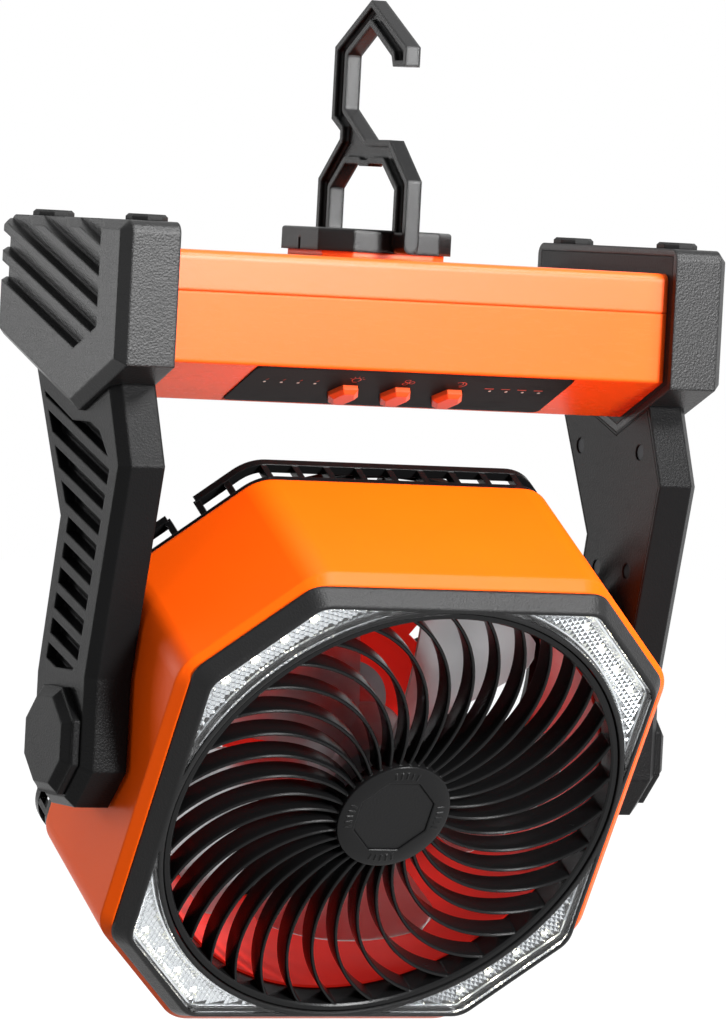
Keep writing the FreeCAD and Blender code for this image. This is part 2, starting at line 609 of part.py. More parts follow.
switches = []
for index in (-1, 0, 1):
    centre = "%d * button_spacing" % index
    switches.append(panel_box("switch_%d" % (index + 2), centre + " - 0.5 * switch_size",
                              centre + " + 0.5 * switch_size", "button_row - 0.5 * switch_size",
                              "button_row + 0.5 * switch_size", SWITCH_TOP, BOARD_TOP))
keep(gather("button_switches", switches), "button_switches", PANEL)
keep(panel_box("control_board_body", "-board_half", "board_half", "3.5", "3.5 + board_length",
               BOARD_TOP, BOARD_TOP + " + board_thick"), "control_board", PANEL)
lamps = []
for number, x in enumerate(lamp_places()):
    body = new_body("lamp_%d" % number)
    sketch = new_sketch(body, "lamp_%d_rod" % number, "XY_Plane", "-0.4")
    add_small_round(sketch, "0.5 * lamp_dot - 0.03", x, "lamp_row")
    pad(body, "lamp_%d_pad" % number, sketch, BOARD_TOP + " + 0.4")
    lamps.append(body)
keep(gather("panel_lamps", lamps), "panel_lamps", PANEL)


# Battery cells in their tray, fixed under the cover
CELL_HIGH = "(bar_top - bar_wall - cell_radius)"


def battery():
    cells = []
    for index in range(int(size("cell_count"))):
        body = new_body("cell_%d" % index)
        x = "(%s) * cell_spacing" % (index - 0.5 * (size("cell_count") - 1))
        sketch = new_sketch(body, "cell_%d_round" % index, "XZ_Plane", "-0.5 * cell_length")
        add_circle(sketch, "cell_radius", x, CELL_HIGH)
        pad(body, "cell_%d_pad" % index, sketch, "cell_length")
        cells.append(body)
    keep(gather("battery_cells", cells), "battery_cells", BASE)
    half = "(0.5 * cell_spacing * cell_count + tray_wall)"
    low = "(%s - cell_radius - tray_wall)" % CELL_HIGH
    tray = block("tray_block", "XZ_Plane", "-0.5 * cell_length - tray_wall",
                 [("-" + half, low), (half, low), (half, low + " + tray_rise + tray_wall"),
                  ("-" + half, low + " + tray_rise + tray_wall")], "cell_length + 2 * tray_wall")
    beds = []
    for index in range(int(size("cell_count"))):
        bed = new_body("bed_%d" % index)
        x = "(%s) * cell_spacing" % (index - 0.5 * (size("cell_count") - 1))
        sketch = new_sketch(bed, "bed_%d_round" % index, "XZ_Plane", "-0.5 * cell_length - cell_gap")
        add_circle(sketch, "cell_radius + cell_gap", x, CELL_HIGH)
        pad(bed, "bed_%d_pad" % index, sketch, "cell_length + 2 * cell_gap")
        beds.append(bed)
    keep(boolean("Cut", "battery_tray", tray, boolean("MultiFuse", "tray_beds", *beds)), "battery_tray", BASE)


battery()


# Hook, its block and its pin
def hook_outline():
    """The hook seen along the bar, from the front leg's foot round to the back leg's."""
    return [("-leg_outer", "leg_end"), ("-leg_outer", "leg_top"), ("-loop_shoulder", "loop_top"),
            ("-0.5", "loop_top"), ("throat_inner", "throat_low"), ("throat_inner", "throat_high"),
            ("0", "saddle_height"), ("-tip_inner + 1.5", "throat_high - 0.3"), ("-tip_inner", "tip_low"),
            ("-tip_outer", "tip_low"), ("-tip_outer", "roof_eave"), ("0", "roof_ridge"),
            ("throat_outer", "roof_eave"), ("throat_outer", "neck_low"), ("loop_shoulder", "neck_low - 4.5"),
            ("loop_shoulder", "loop_top"), ("leg_outer", "leg_top"), ("leg_outer", "leg_end"),
            ("leg_inner", "leg_end"), ("leg_inner", "leg_inner_top"),
            ("loop_inner_shoulder", "loop_inner_top"), ("5", "loop_inner_top"),
            ("3.5", "loop_inner_top - 1.1"), ("-3.5", "loop_inner_top - 1.1"),
            ("-5", "loop_inner_top"), ("-loop_inner_shoulder", "loop_inner_top"),
            ("-leg_inner", "leg_inner_top"), ("-leg_inner", "leg_end")]


def hook():
    """A flat bar bent to shape, cored out on one side so that a rim stands all round."""
    half = size("0.5 * hook_width")
    body = block("hook_body", "YZ_Plane", "0", hook_outline(), "hook_width", symmetric=True)
    dress(body, "Fillet", "leg_round", "0.5 * hook_width - 0.15",
          lambda a, b: near(a.z, size("leg_end")) and near(b.z, size("leg_end")) and near(a.x, b.x))
    for index, low in enumerate(("-leg_outer + pin_end", "leg_inner - 1")):
        sketch = new_sketch(body, "pin_bore_%d" % index, "XZ_Plane",
                            "-(%s) - (leg_outer - leg_inner - pin_end + 1)" % low)
        add_circle(sketch, "pin_radius + pin_gap", "0", "pin_height")
        pocket(body, "pin_bore_cut_%d" % index, sketch, "leg_outer - leg_inner - pin_end + 1", reverse=True)
    wire = Part.makePolygon([V(-half - 1, size(y), size(z)) for y, z in hook_outline() + hook_outline()[:1]])
    core = Part.Face(wire).makeOffset2D(-size("hook_rim"))
    core = core.extrude(V(1 + size("hook_recess"), 0, 0))
    above_pin = Part.makeBox(size("hook_width"), size("2 * cap_depth"), size("roof_ridge"),
                             V(-half - 1, -size("cap_depth"), size("pin_height + 2 * pin_radius + 2")))
    cored = boolean("Cut", "hook_cored", body, from_shape("hook_core", core.common(above_pin)))
    return keep(cored, "hook", BASE)


def hook_block():
    body = block("hook_block_body", "XY_Plane", "block_low",
                 cut_rectangle("block_half_x", "block_half_y", "block_corner"), "block_high - block_low")
    dress(body, "Fillet", "block_top_edge", "edge_round",
          lambda a, b: near(a.z, size("block_high")) and near(b.z, size("block_high")))
    for side in (-1, 1):
        sketch = new_sketch(body, "block_slot", "XY_Plane", "block_low")
        outer = "%d * (block_half_x + 1)" % side
        inner = "%d * (block_half_x - slot_depth)" % side
        add_outline(sketch, [(outer, "-0.5 * block_slot"), (inner, "-0.5 * block_slot"),
                             (inner, "0.5 * block_slot"), (outer, "0.5 * block_slot")])
        pocket(body, "block_slot_cut", sketch, "slot_height", reverse=True)
    sketch = new_sketch(body, "block_bore", "XZ_Plane", "-block_half_y - 1")
    add_circle(sketch, "pin_radius + 0.01", "0", "pin_height")
    pocket(body, "block_bore_cut", sketch, "2 * block_half_y + 2", reverse=True)
    return keep(body, "hook_block", BASE)


def hook_pin():
    body = new_body("hook_pin_body")
    sketch = new_sketch(body, "hook_pin_round", "XZ_Plane", "-leg_outer + pin_end + 0.3")
    add_circle(sketch, "pin_radius", "0", "pin_height")
    pad(body, "hook_pin_pad", sketch, "2 * (leg_outer - pin_end - 0.3)")
    return keep(body, "hook_pin", BASE)


hook()
hook_block()
hook_pin()


# Feet: four eight-sided rubber pads let into the caps' upper faces
def foot_outline(x, y, grow="0"):
    half = "(0.5 * foot_flats + %s)" % grow
    flat = "(0.2071 * foot_flats + %s)" % grow
    return [("%s + %s" % (x, u), "%s + %s" % (y, v)) for u, v in octagon(half, flat)]


def rubber_feet():
    feet = []
    for side in (-1, 1):
        for y in ("-foot_spread", "foot_spread"):
            x = "%d * foot_across" % side
            body = new_body("foot")
            sketch = new_sketch(body, "foot_pad_outline", "XY_Plane", "cap_top")
            add_outline(sketch, foot_outline(x, y))
            pad(body, "foot_pad", sketch, "foot_height")
            dress(body, "Chamfer", "foot_edge_cut", "foot_edge",
                  lambda a, b: near(a.z, size("cap_top + foot_height")) and near(a.z, b.z))
            feet.append(body)
    keep(gather("rubber_feet", feet), "rubber_feet", BASE)


rubber_feet()


# Arms
def boss_points(flats):
    """The lower half of the eight-sided end, front to back."""
    half = "(0.5 * %s)" % flats
    flat = "(0.2071 * %s)" % flats
    steps = [("- " + half, "- " + flat), ("- " + flat, "- " + half), ("+ " + flat, "- " + half),
             ("+ " + half, "- " + flat)]
    return [("-pivot_depth " + across, "-pivot_drop " + down) for across, down in steps]


def keel_height(y):
    """Height of the cap's sloping underside at depth y, as an expression."""
    if y.startswith("-"):
        rise = "(keel_drop - cap_front_low) / (cap_depth / 2 - keel_depth)"
        return "(-keel_drop - (%s + keel_depth) * %s)" % (y, rise)
    rise = "(keel_drop - cap_back_low) / (cap_depth / 2 + keel_depth)"
    return "(-keel_drop + (%s + keel_depth) * %s)" % (y, rise)


def arm_outline(inset="0"):
    """The bent arm seen from the side, under the cap's keel, drawn in by inset."""
    front = "-arm_front_top + 1.1 * " + inset
    back_top = "arm_back_top - 1.2 * " + inset
    flats = "(boss_flats - 2 * %s)" % inset
    return ([(front, keel_height("-arm_front_top") + " - 1.1 * " + inset),
             ("-elbow_front + 1.02 * " + inset, "-elbow_front_drop"),
             ("-pivot_depth - 0.5 * %s" % flats, "-wrist_drop")] + boss_points(flats)
            + [("-pivot_depth + 0.5 * %s" % flats, "-wrist_drop"),
               ("elbow_back - 1.02 * " + inset, "-elbow_back_drop"),
               (back_top, keel_height("arm_back_top") + " - " + inset),
               ("-keel_depth", "-keel_drop - 1.05 * " + inset)])


def slot_window():
    """Where the arm's ribs show: inside a strip along its outer face."""
    inset = "(edge_chamfer + arm_strip)"
    return [("-arm_front_top + 1.15 * " + inset, "-keel_drop - 4"),
            ("-elbow_front + 1.02 * " + inset, "-elbow_front_drop"),
            ("-pivot_depth - 0.5 * boss_flats + %s" % inset, "-pivot_drop + 0.5 * boss_flats + 5"),
            ("-pivot_depth - 0.5 * boss_flats + %s + 4" % inset, "-pivot_drop + 0.5 * boss_flats + 2"),
            ("-pivot_depth + 0.5 * boss_flats - %s - 3" % inset, "-pivot_drop + 0.5 * boss_flats + 2"),
            ("-pivot_depth + 0.5 * boss_flats - %s" % inset, "-pivot_drop + 0.5 * boss_flats + 5"),
            ("elbow_back - 1.02 * " + inset, "-elbow_back_drop"),
            ("arm_back_top - 1.3 * " + inset, "-keel_drop + 6"), ("-keel_depth + 9", "-keel_drop - 4")]


SCREW_SPOTS = [("-34.5", "-53.5"), ("13.0", "-53.0"), ("-29.0", "-99.5"), ("-5.0", "-99.5")]


def arm_shell(side, name):
    """The outer half of an arm: ribbed outside, hollow inside, with screw posts."""
    outer = side * size("%s + arm_thick" % CAP_INNER)
    lift = CAP_INNER if side > 0 else "-" + CAP_INNER + " - arm_thick"
    body = block(name + "_blank", "YZ_Plane", lift, arm_outline(), "arm_thick")
    dress(body, "Chamfer", name + "_edge", "edge_chamfer",
          lambda a, b: near(a.x, outer) and near(b.x, outer) and min(a.z, b.z) < -size("keel_drop + 1"))
    deep = "(arm_thick - groove_depth - arm_floor)"
    lift = CAP_INNER if side > 0 else "-%s - %s" % (CAP_INNER, deep)
    sketch = new_sketch(body, name + "_room", "YZ_Plane", lift)
    add_outline(sketch, arm_outline("(cover_inset + arm_wall)"))
    pocket(body, name + "_room_cut", sketch, deep, reverse=True)
    lift = CAP_INNER if side > 0 else "-%s - cover_thick" % CAP_INNER
    sketch = new_sketch(body, name + "_seat", "YZ_Plane", lift)
    add_outline(sketch, arm_outline("(cover_inset - lid_gap)"))
    pocket(body, name + "_seat_cut", sketch, "cover_thick", reverse=True)
    start = "%s + cover_thick" % CAP_INNER
    post_long = "(%s - cover_thick)" % deep
    lift = start if side > 0 else "-(%s) - %s" % (start, post_long)
    for index, (y, z) in enumerate(SCREW_SPOTS):
        sketch = new_sketch(body, "%s_post_%d" % (name, index), "YZ_Plane", lift)
        add_small_round(sketch, "post_radius", y, z)
        pad(body, "%s_post_pad_%d" % (name, index), sketch, post_long)
    for index, (y, z) in enumerate(SCREW_SPOTS):
        sketch = new_sketch(body, "%s_pilot_%d" % (name, index), "YZ_Plane", lift)
        add_small_round(sketch, "screw_radius", y, z)
        pocket(body, "%s_pilot_cut_%d" % (name, index), sketch, post_long, reverse=True)
    sketch = new_sketch(body, name + "_boss", "YZ_Plane", lift)
    add_circle(sketch, "pivot_radius + bush_wall + 3", "-pivot_depth", "-pivot_drop")
    pad(body, name + "_boss_pad", sketch, post_long)
    sketch = new_sketch(body, name + "_bore", "YZ_Plane", "%d * overall_width / 2" % side)
    add_circle(sketch, "pivot_radius + bush_wall", "-pivot_depth", "-pivot_drop")
    pocket(body, name + "_bore_cut", sketch, "overall_width / 2", symmetric=True)
    window = block(name + "_window", "YZ_Plane", "%d * (%s + arm_thick)" % (side, CAP_INNER), slot_window(),
                   "2 * groove_depth", symmetric=True)
    comb = groove_comb(name + "_comb", "arm_rib_pitch", "-arm_groove_edge", 11,
                       "%d * (%s + arm_thick)" % (side, CAP_INNER))
    slots = boolean("Common", name + "_slots", window, comb)
    return keep(boolean("Cut", name, body, slots), name, BASE)


def arm_cover(side, name):
    """The flat inner cover of an arm, held by four sunk screws."""
    lift = CAP_INNER if side > 0 else "-%s - cover_thick" % CAP_INNER
    body = block(name + "_body", "YZ_Plane", lift, arm_outline("cover_inset"), "cover_thick")
    sketch = new_sketch(body, name + "_bore", "YZ_Plane", lift)
    add_circle(sketch, "pivot_radius + bush_wall", "-pivot_depth", "-pivot_drop")
    pocket(body, name + "_bore_cut", sketch, "cover_thick", reverse=True)
    deep = "(screw_head_high + screw_sink)"
    head_lift = CAP_INNER if side > 0 else "-%s - %s" % (CAP_INNER, deep)
    for index, (y, z) in enumerate(SCREW_SPOTS):
        sketch = new_sketch(body, "%s_hole_%d" % (name, index), "YZ_Plane", lift)
        add_small_round(sketch, "screw_radius + 0.2", y, z)
        pocket(body, "%s_hole_cut_%d" % (name, index), sketch, "cover_thick", reverse=True)
        sketch = new_sketch(body, "%s_sink_%d" % (name, index), "YZ_Plane", head_lift)
        add_small_round(sketch, "screw_head + 0.2", y, z, sides=12)
        pocket(body, "%s_sink_cut_%d" % (name, index), sketch, deep, reverse=True)
    return keep(body, name, BASE)


def screw(name, x, y, z, direction):
    """A pan-head screw; direction is +1 or -1 along X for the way its point goes."""
    body = new_body(name)
    low = "%s + screw_sink" % x if direction > 0 else "%s - screw_sink - screw_head_high" % x
    sketch = new_sketch(body, name + "_head_round", "YZ_Plane", low)
    add_small_round(sketch, "screw_head", y, z, sides=12)
    pad(body, name + "_head_pad", sketch, "screw_head_high")
    low = (x + " + screw_sink + screw_head_high" if direction > 0
           else x + " - screw_sink - screw_head_high - screw_length")
    sketch = new_sketch(body, name + "_shank_round", "YZ_Plane", low)
    add_small_round(sketch, "screw_radius - 0.02", y, z)
    pad(body, name + "_shank_pad", sketch, "screw_length")
    return body


def knob(side, name):
    """The eight-sided cap over a pivot: a straight base, a thin groove and a sloping crown."""
    foot = "(%s + arm_thick)" % CAP_INNER
    body = new_body(name + "_body")

    def ring(label, out, flats):
        sketch = new_sketch(body, name + label, "YZ_Plane", "%d * (%s + %s)" % (side, foot, out))
        half, flat = "(0.5 * %s)" % flats, "(0.2071 * %s)" % flats
        add_outline(sketch, [("-pivot_depth + " + u, "-pivot_drop + " + v) for u, v in octagon(half, flat)])
        return sketch

    pad(body, name + "_base_pad", ring("_base", "0", "knob_flats"), "knob_base", reverse=side < 0)
    loft = body.newObject("PartDesign::AdditiveLoft", name + "_crown")
    loft.Profile = ring("_crown_low", "knob_base", "(knob_flats - 2 * knob_groove)")
    loft.Sections = [ring("_crown_high", "knob_height", "knob_face")]
    loft.Ruled = True
    doc.recompute()
    sketch = new_sketch(body, name + "_spigot", "YZ_Plane",
                        "%d * %s" % (side, foot) + (" - knob_spigot" if side > 0 else ""))
    add_small_round(sketch, "pivot_radius + bush_wall - 0.1", "-pivot_depth", "-pivot_drop")
    pad(body, name + "_spigot_pad", sketch, "knob_spigot")
    return keep(body, name, BASE)


arm_shell(-1, "left_arm_shell")
arm_shell(1, "right_arm_shell")
arm_cover(-1, "left_arm_cover")
arm_cover(1, "right_arm_cover")
screws = []
for side in (-1, 1):
    for number, (y, z) in enumerate(SCREW_SPOTS):
        face = "%d * %s" % (side, CAP_INNER)
        screws.append(screw("arm_screw_%d_%d" % (side + 1, number), face, y, z, side))
keep(gather("arm_screws", screws), "arm_screws", BASE)
knob(-1, "left_tilt_knob")
knob(1, "right_tilt_knob")


# Tilt pivots: bushes in the arms, hollow pins on the head
def tube(name, role, low, length, outer, inner, across, up):
    body = new_body(name)
    sketch = new_sketch(body, name + "_ring", role, low)
    add_circle(sketch, outer, across, up)
    add_circle(sketch, inner, across, up)
    pad(body, name + "_pad", sketch, length)
    return body


bushes = []
pins = []
PIN_END = "(%s + arm_thick - knob_spigot - 0.3)" % CAP_INNER
for side in (-1, 1):
    bush_long = "(arm_thick - knob_spigot)"
    low = CAP_INNER if side > 0 else "-%s - %s" % (CAP_INNER, bush_long)
    bushes.append(tube("bush_%d" % (side + 1), "YZ_Plane", low, bush_long, "pivot_radius + bush_wall",
                       "pivot_radius + pivot_gap", "-pivot_depth", "-pivot_drop"))
    start = "(head_half - head_wall)"
    low = start if side > 0 else "-" + PIN_END
    pins.append(tube("pin_%d" % (side + 1), "YZ_Plane", low, PIN_END + " - " + start, "pivot_radius",
                     "pivot_bore", "0", "0"))
keep(gather("pivot_bushes", bushes), "pivot_bushes", BASE)
keep(gather("pivot_pins", pins), "pivot_pins", HEAD)
washers = []
for side in (-1, 1):
    low = "head_half" if side > 0 else "-head_half - (%s - head_half - washer_gap)" % CAP_INNER
    washers.append(tube("washer_%d" % (side + 1), "YZ_Plane", low, "%s - head_half - washer_gap" % CAP_INNER,
                        "washer_radius", "pivot_radius + 0.05", "0", "0"))
keep(gather("pivot_washers", washers), "pivot_washers", HEAD)


# Head shell: the orange eight-sided case, open in front, with a round opening behind
def head_edges(a, b):
    """The long edges that run from back to front."""
    return near(a.x, b.x) and near(a.z, b.z) and not near(a.y, b.y)


def head_housing():
    body = block("head_housing_body", "XZ_Plane", "-head_back", octagon("head_half", "head_flat"),
                 "head_front + head_back")
    dress(body, "Fillet", "head_corners", "head_round", head_edges)
    front = -size("head_front")
    dress(body, "Chamfer", "head_rim", "head_chamfer",
          lambda a, b: near(a.y, front) and near(b.y, front))
    sketch = new_sketch(body, "head_room", "XZ_Plane", "-head_back + back_wall")
    add_outline(sketch, octagon("head_half - head_wall", "head_flat - 0.41 * head_wall"))
    pocket(body, "head_room_cut", sketch, "head_front - head_lip + head_back - back_wall", reverse=True)
    sketch = new_sketch(body, "head_mouth", "XZ_Plane", "head_front - head_lip - 1")
    add_outline(sketch, octagon("lip_half", "lip_flat"))
    pocket(body, "head_mouth_cut", sketch, "head_lip + 2", reverse=True)
    sketch = new_sketch(body, "head_back_hole", "XZ_Plane", "-head_back")
    add_circle(sketch, "back_opening")
    pocket(body, "head_back_cut", sketch, "back_wall", reverse=True)
    sketch = new_sketch(body, "head_screw_holes", "XZ_Plane", "-head_back")
    for a in (-1, 1):
        for b in (-1, 1):
            add_small_round(sketch, "screw_radius", "%d * screw_corner" % a, "%d * screw_corner" % b)
    pocket(body, "head_screw_holes_cut", sketch, "back_wall", reverse=True)
    sketch = new_sketch(body, "head_pivot_hole", "YZ_Plane", "0")
    add_circle(sketch, "pivot_radius", "0", "0")
    pocket(body, "head_pivot_cut", sketch, "overall_width", symmetric=True)
    return keep(body, "head_housing", HEAD)


def air_duct():
    body = tube("air_duct_body", "XZ_Plane", "-head_back + back_wall", "duct_front + head_back - back_wall",
                "duct_radius + duct_wall", "duct_radius", "0", "0")
    return keep(body, "air_duct", HEAD)


head_housing()
air_duct()


# Bezel: a sloping frame with a round opening and four seats for the lenses
def lens_outline(grow):
    return octagon("lens_half + " + grow, "lens_flat + 0.41 * " + grow)


def front_bezel():
    body = new_body("front_bezel_body")
    foot = new_sketch(body, "bezel_foot_line", "XZ_Plane", "head_front")
    add_outline(foot, octagon("bezel_foot", "bezel_flat + 1.8"))
    crest = new_sketch(body, "bezel_crest_line", "XZ_Plane", "bezel_front")
    add_outline(crest, octagon("bezel_half", "bezel_flat"))
    loft = body.newObject("PartDesign::AdditiveLoft", "bezel_slope")
    loft.Profile = foot
    loft.Sections = [crest]
    loft.Ruled = True
    doc.recompute()
    sketch = new_sketch(body, "bezel_skirt_line", "XZ_Plane", "head_front - bezel_skirt")
    add_outline(sketch, octagon("lip_half - bezel_gap", "lip_flat - 0.5 * bezel_gap"))
    pad(body, "bezel_skirt_pad", sketch, "bezel_skirt")
    crest_level = -size("bezel_front")
    foot_level = -size("head_front")
    dress(body, "Fillet", "bezel_corners", "0.8 * head_round",
          lambda a, b: near(min(a.y, b.y), crest_level) and near(max(a.y, b.y), foot_level))
    dress(body, "Fillet", "bezel_edge", "edge_round",
          lambda a, b: near(a.y, crest_level) and near(b.y, crest_level))
    sketch = new_sketch(body, "bezel_hole", "XZ_Plane", "head_front - bezel_skirt")
    add_circle(sketch, "bezel_opening")
    pocket(body, "bezel_hole_cut", sketch, "bezel_front", reverse=True)
    return body


def corner_plate(name, low, thick, grow):
    """Four corner pieces: an eight-sided plate less the round middle."""
    plate = block(name + "_plate", "XZ_Plane", low, lens_outline(grow), thick)
    dress(plate, "Fillet", name + "_round", "lens_round", head_edges)
    middle = new_body(name + "_middle")
    sketch = new_sketch(middle, name + "_middle_line", "XZ_Plane", low)
    add_circle(sketch, "lens_inner - " + grow)
    pad(middle, name + "_middle_pad", sketch, thick)
    return boolean("Cut", name, plate, middle)


bezel_body = front_bezel()
lens_seats = corner_plate("lens_seats", "bezel_front - lens_thick", "2 * lens_thick", "lens_gap")
light_wells = corner_plate("light_wells", "head_front - bezel_skirt - 1", "2 * lens_thick",
                           "(lens_gap - ledge)")
lens_room = boolean("MultiFuse", "lens_room", lens_seats, light_wells)
keep(boolean("Cut", "front_bezel", bezel_body, lens_room), "front_bezel", HEAD)
keep(corner_plate("light_lenses", "bezel_front - lens_thick", "lens_thick - lens_drop", "0"),
     "light_lenses", HEAD)
keep(corner_plate("led_boards", "head_front - bezel_skirt - led_board_thick", "led_board_thick",
                  "led_board_edge"), "led_boards", HEAD)


def led_chips():
    """Four square chips under each lens, in a line across the corner."""
    chips = []
    half = "0.5 * chip_size"
    for step in ("(-1.5)", "(-0.5)", "0.5", "1.5"):
        x = "%s * chip_pitch" % step
        chips.append(block("chip", "XZ_Plane", "head_front - bezel_skirt",
                           [("%s - %s" % (x, half), "chip_reach - " + half),
                            ("%s + %s" % (x, half), "chip_reach - " + half),
                            ("%s + %s" % (x, half), "chip_reach + " + half),
                            ("%s - %s" % (x, half), "chip_reach + " + half)], "chip_high"))
    turned = []
    for corner in range(4):
        for chip in chips:
            copy = chip if corner == 0 else doc.copyObject(chip, True)
            copy.Placement = FreeCAD.Placement(V(), FreeCAD.Rotation(V(0, 1, 0), 45 + 90 * corner))
            turned.append(copy)
    doc.recompute()
    return keep(gather("led_chips", turned), "led_chips", HEAD)


led_chips()


# Front grille: a hub disc, an outer ring and swirling vanes between them
def polar(body, name, originals, count):
    pattern = body.newObject("PartDesign::PolarPattern", name)
    pattern.Originals = originals
    pattern.Axis = (origin_plane(body, "Y_Axis"), [""])
    pattern.Angle = 360
    pattern.Occurrences = count
    pattern.Refine = False
    body.Tip = pattern
    doc.recompute()
    return pattern


def arc_angle(centre_out, centre_side, radius, reach):
    """Where a circle about a point off the axis lies at a given reach from the axis, in degrees."""
    away = math.hypot(centre_out, centre_side)
    lean = math.degrees(math.atan2(centre_side, centre_out))
    bend = math.degrees(math.acos((reach ** 2 - away ** 2 - radius ** 2) / (2 * away * radius)))
    return lean - bend


def band_outline(centre, radius, thick, start, end, steps):
    """A curved band about a centre between two angles, as a closed outline of straight steps."""
    angles = [math.radians(start + (end - start) * k / steps) for k in range(steps + 1)]
    low = [("%s + (%s - 0.5 * %s) * (%.9f)" % (centre[0], radius, thick, math.cos(a)),
            "%s + (%s - 0.5 * %s) * (%.9f)" % (centre[1], radius, thick, math.sin(a))) for a in angles]
    high = [("%s + (%s + 0.5 * %s) * (%.9f)" % (centre[0], radius, thick, math.cos(a)),
             "%s + (%s + 0.5 * %s) * (%.9f)" % (centre[1], radius, thick, math.sin(a))) for a in angles]
    return low + high[::-1]


def front_grille():
    body = new_body("front_grille_body")
    sketch = new_sketch(body, "grille_ring", "XZ_Plane", "grille_front - ring_depth")
    add_circle(sketch, "ring_outer")
    add_circle(sketch, "ring_outer - ring_wall")
    pad(body, "grille_ring_pad", sketch, "ring_depth")
    sketch = new_sketch(body, "grille_hub", "XZ_Plane", "hub_front - hub_thick")
    add_circle(sketch, "hub_radius")
    pad(body, "grille_hub_pad", sketch, "hub_thick")
    sketch = new_sketch(body, "grille_vane", "XZ_Plane", "grille_front - vane_depth")
    circle = (size("vane_centre_out"), size("vane_centre_side"), size("vane_radius"))
    start = arc_angle(*circle, size("hub_radius - 2"))
    end = arc_angle(*circle, size("ring_outer - 0.5 * ring_wall"))
    add_outline(sketch, band_outline(("vane_centre_out", "vane_centre_side"), "vane_radius", "vane_width",
                                     start, end, int(size("vane_steps"))))
    vane = pad(body, "grille_vane_pad", sketch, "vane_depth - vane_drop")
    polar(body, "grille_vanes", [vane], int(size("vane_count")))
    sketch = new_sketch(body, "hub_recess", "XZ_Plane", "hub_front - plate_recess - plate_thick")
    add_outline(sketch, octagon("0.5 * plate_flats + plate_gap", "0.2071 * plate_flats + plate_gap"))
    pocket(body, "hub_recess_cut", sketch, "hub_thick", reverse=True)
    return keep(body, "front_grille", HEAD)


front_grille()
keep(block("hub_plate_body", "XZ_Plane", "hub_front - plate_recess - plate_thick",
           octagon("0.5 * plate_flats", "0.2071 * plate_flats"), "plate_thick"), "hub_plate", HEAD)


# Rotor: a cup over the motor with twisted blades, its shaft and its nut
def one_blade():
    """A cambered blade: a curved band along the radius, cut to the blade's outline."""
    rise, sweep, camber = size("blade_rise"), size("blade_sweep"), size("blade_camber")
    chord = math.hypot(rise, sweep)
    back = math.sqrt(camber ** 2 - 0.25 * chord ** 2)
    centre = ("-(blade_low + 0.5 * blade_rise) + %.6f" % (sweep / chord * back),
              "%.6f" % (rise / chord * back))
    half = math.degrees(math.asin(0.5 * chord / camber))
    lean = math.degrees(math.atan2(-rise, -sweep))
    band = block("blade_band", "YZ_Plane", "blade_root",
                 band_outline(centre, "blade_camber", "blade_thick", lean - half, lean + half, 7),
                 "blade_tip + 10 - blade_root")
    outline = [("blade_root", "-0.1 * blade_tip"), ("0.5 * blade_tip", "-0.21 * blade_tip"),
               ("0.92 * blade_tip", "-0.3 * blade_tip"), ("blade_tip + 5", "-0.1 * blade_tip"),
               ("blade_tip + 5", "0.36 * blade_tip"), ("0.75 * blade_tip", "0.34 * blade_tip"),
               ("0.4 * blade_tip", "0.17 * blade_tip"), ("blade_root", "0.11 * blade_tip")]
    plan = block("blade_plan", "XZ_Plane", "rotor_back", outline, "rotor_front - rotor_back")
    disc = rod("blade_disc", "rotor_back", "rotor_front", "blade_tip")
    return boolean("MultiCommon", "blade", band, plan, disc)


def fan_blade():
    body = new_body("blade_cup")
    sketch = new_sketch(body, "cup_round", "XZ_Plane", "rotor_back")
    add_circle(sketch, "rotor_cup")
    pad(body, "cup_pad", sketch, "rotor_front - rotor_back")
    dress(body, "Chamfer", "cup_front_edge", "edge_round",
          lambda a, b: near(a.y, -size("rotor_front")) and near(b.y, -size("rotor_front")))
    sketch = new_sketch(body, "cup_room", "XZ_Plane", "rotor_back")
    add_circle(sketch, "rotor_cup - rotor_wall")
    pocket(body, "cup_room_cut", sketch, "rotor_front - rotor_back - rotor_wall", reverse=True)
    sketch = new_sketch(body, "cup_bore", "XZ_Plane", "rotor_back")
    add_circle(sketch, "shaft_radius")
    pocket(body, "cup_bore_cut", sketch, "rotor_front", reverse=True)
    count = int(size("blade_count"))
    first = one_blade()
    blades = [first]
    for index in range(1, count):
        copy = from_shape("blade_copy", first.Shape.copy())
        copy.Placement = FreeCAD.Placement(V(), FreeCAD.Rotation(V(0, 1, 0), 360.0 / count * index))
        blades.append(copy)
    return keep(boolean("MultiFuse", "fan_blade", body, *blades), "fan_blade", HEAD)


def rod(name, low, high, radius):
    body = new_body(name + "_body")
    sketch = new_sketch(body, name + "_line", "XZ_Plane", low)
    add_circle(sketch, radius)
    pad(body, name + "_pad", sketch, "(%s) - (%s)" % (high, low))
    return body


fan_blade()
keep(rod("motor_shaft", "-shaft_back", "shaft_front", "shaft_radius"), "motor_shaft", HEAD)
nut = block("blade_nut_body", "XZ_Plane", "rotor_front",
            [("nut_radius * %.6f" % math.cos(math.radians(60 * k)),
              "nut_radius * %.6f" % math.sin(math.radians(60 * k))) for k in range(6)], "nut_thick")
nut_hole = new_sketch(nut, "nut_hole", "XZ_Plane", "rotor_front")
add_circle(nut_hole, "shaft_radius")
pocket(nut, "nut_hole_cut", nut_hole, "nut_thick", reverse=True)
keep(nut, "blade_nut", HEAD)


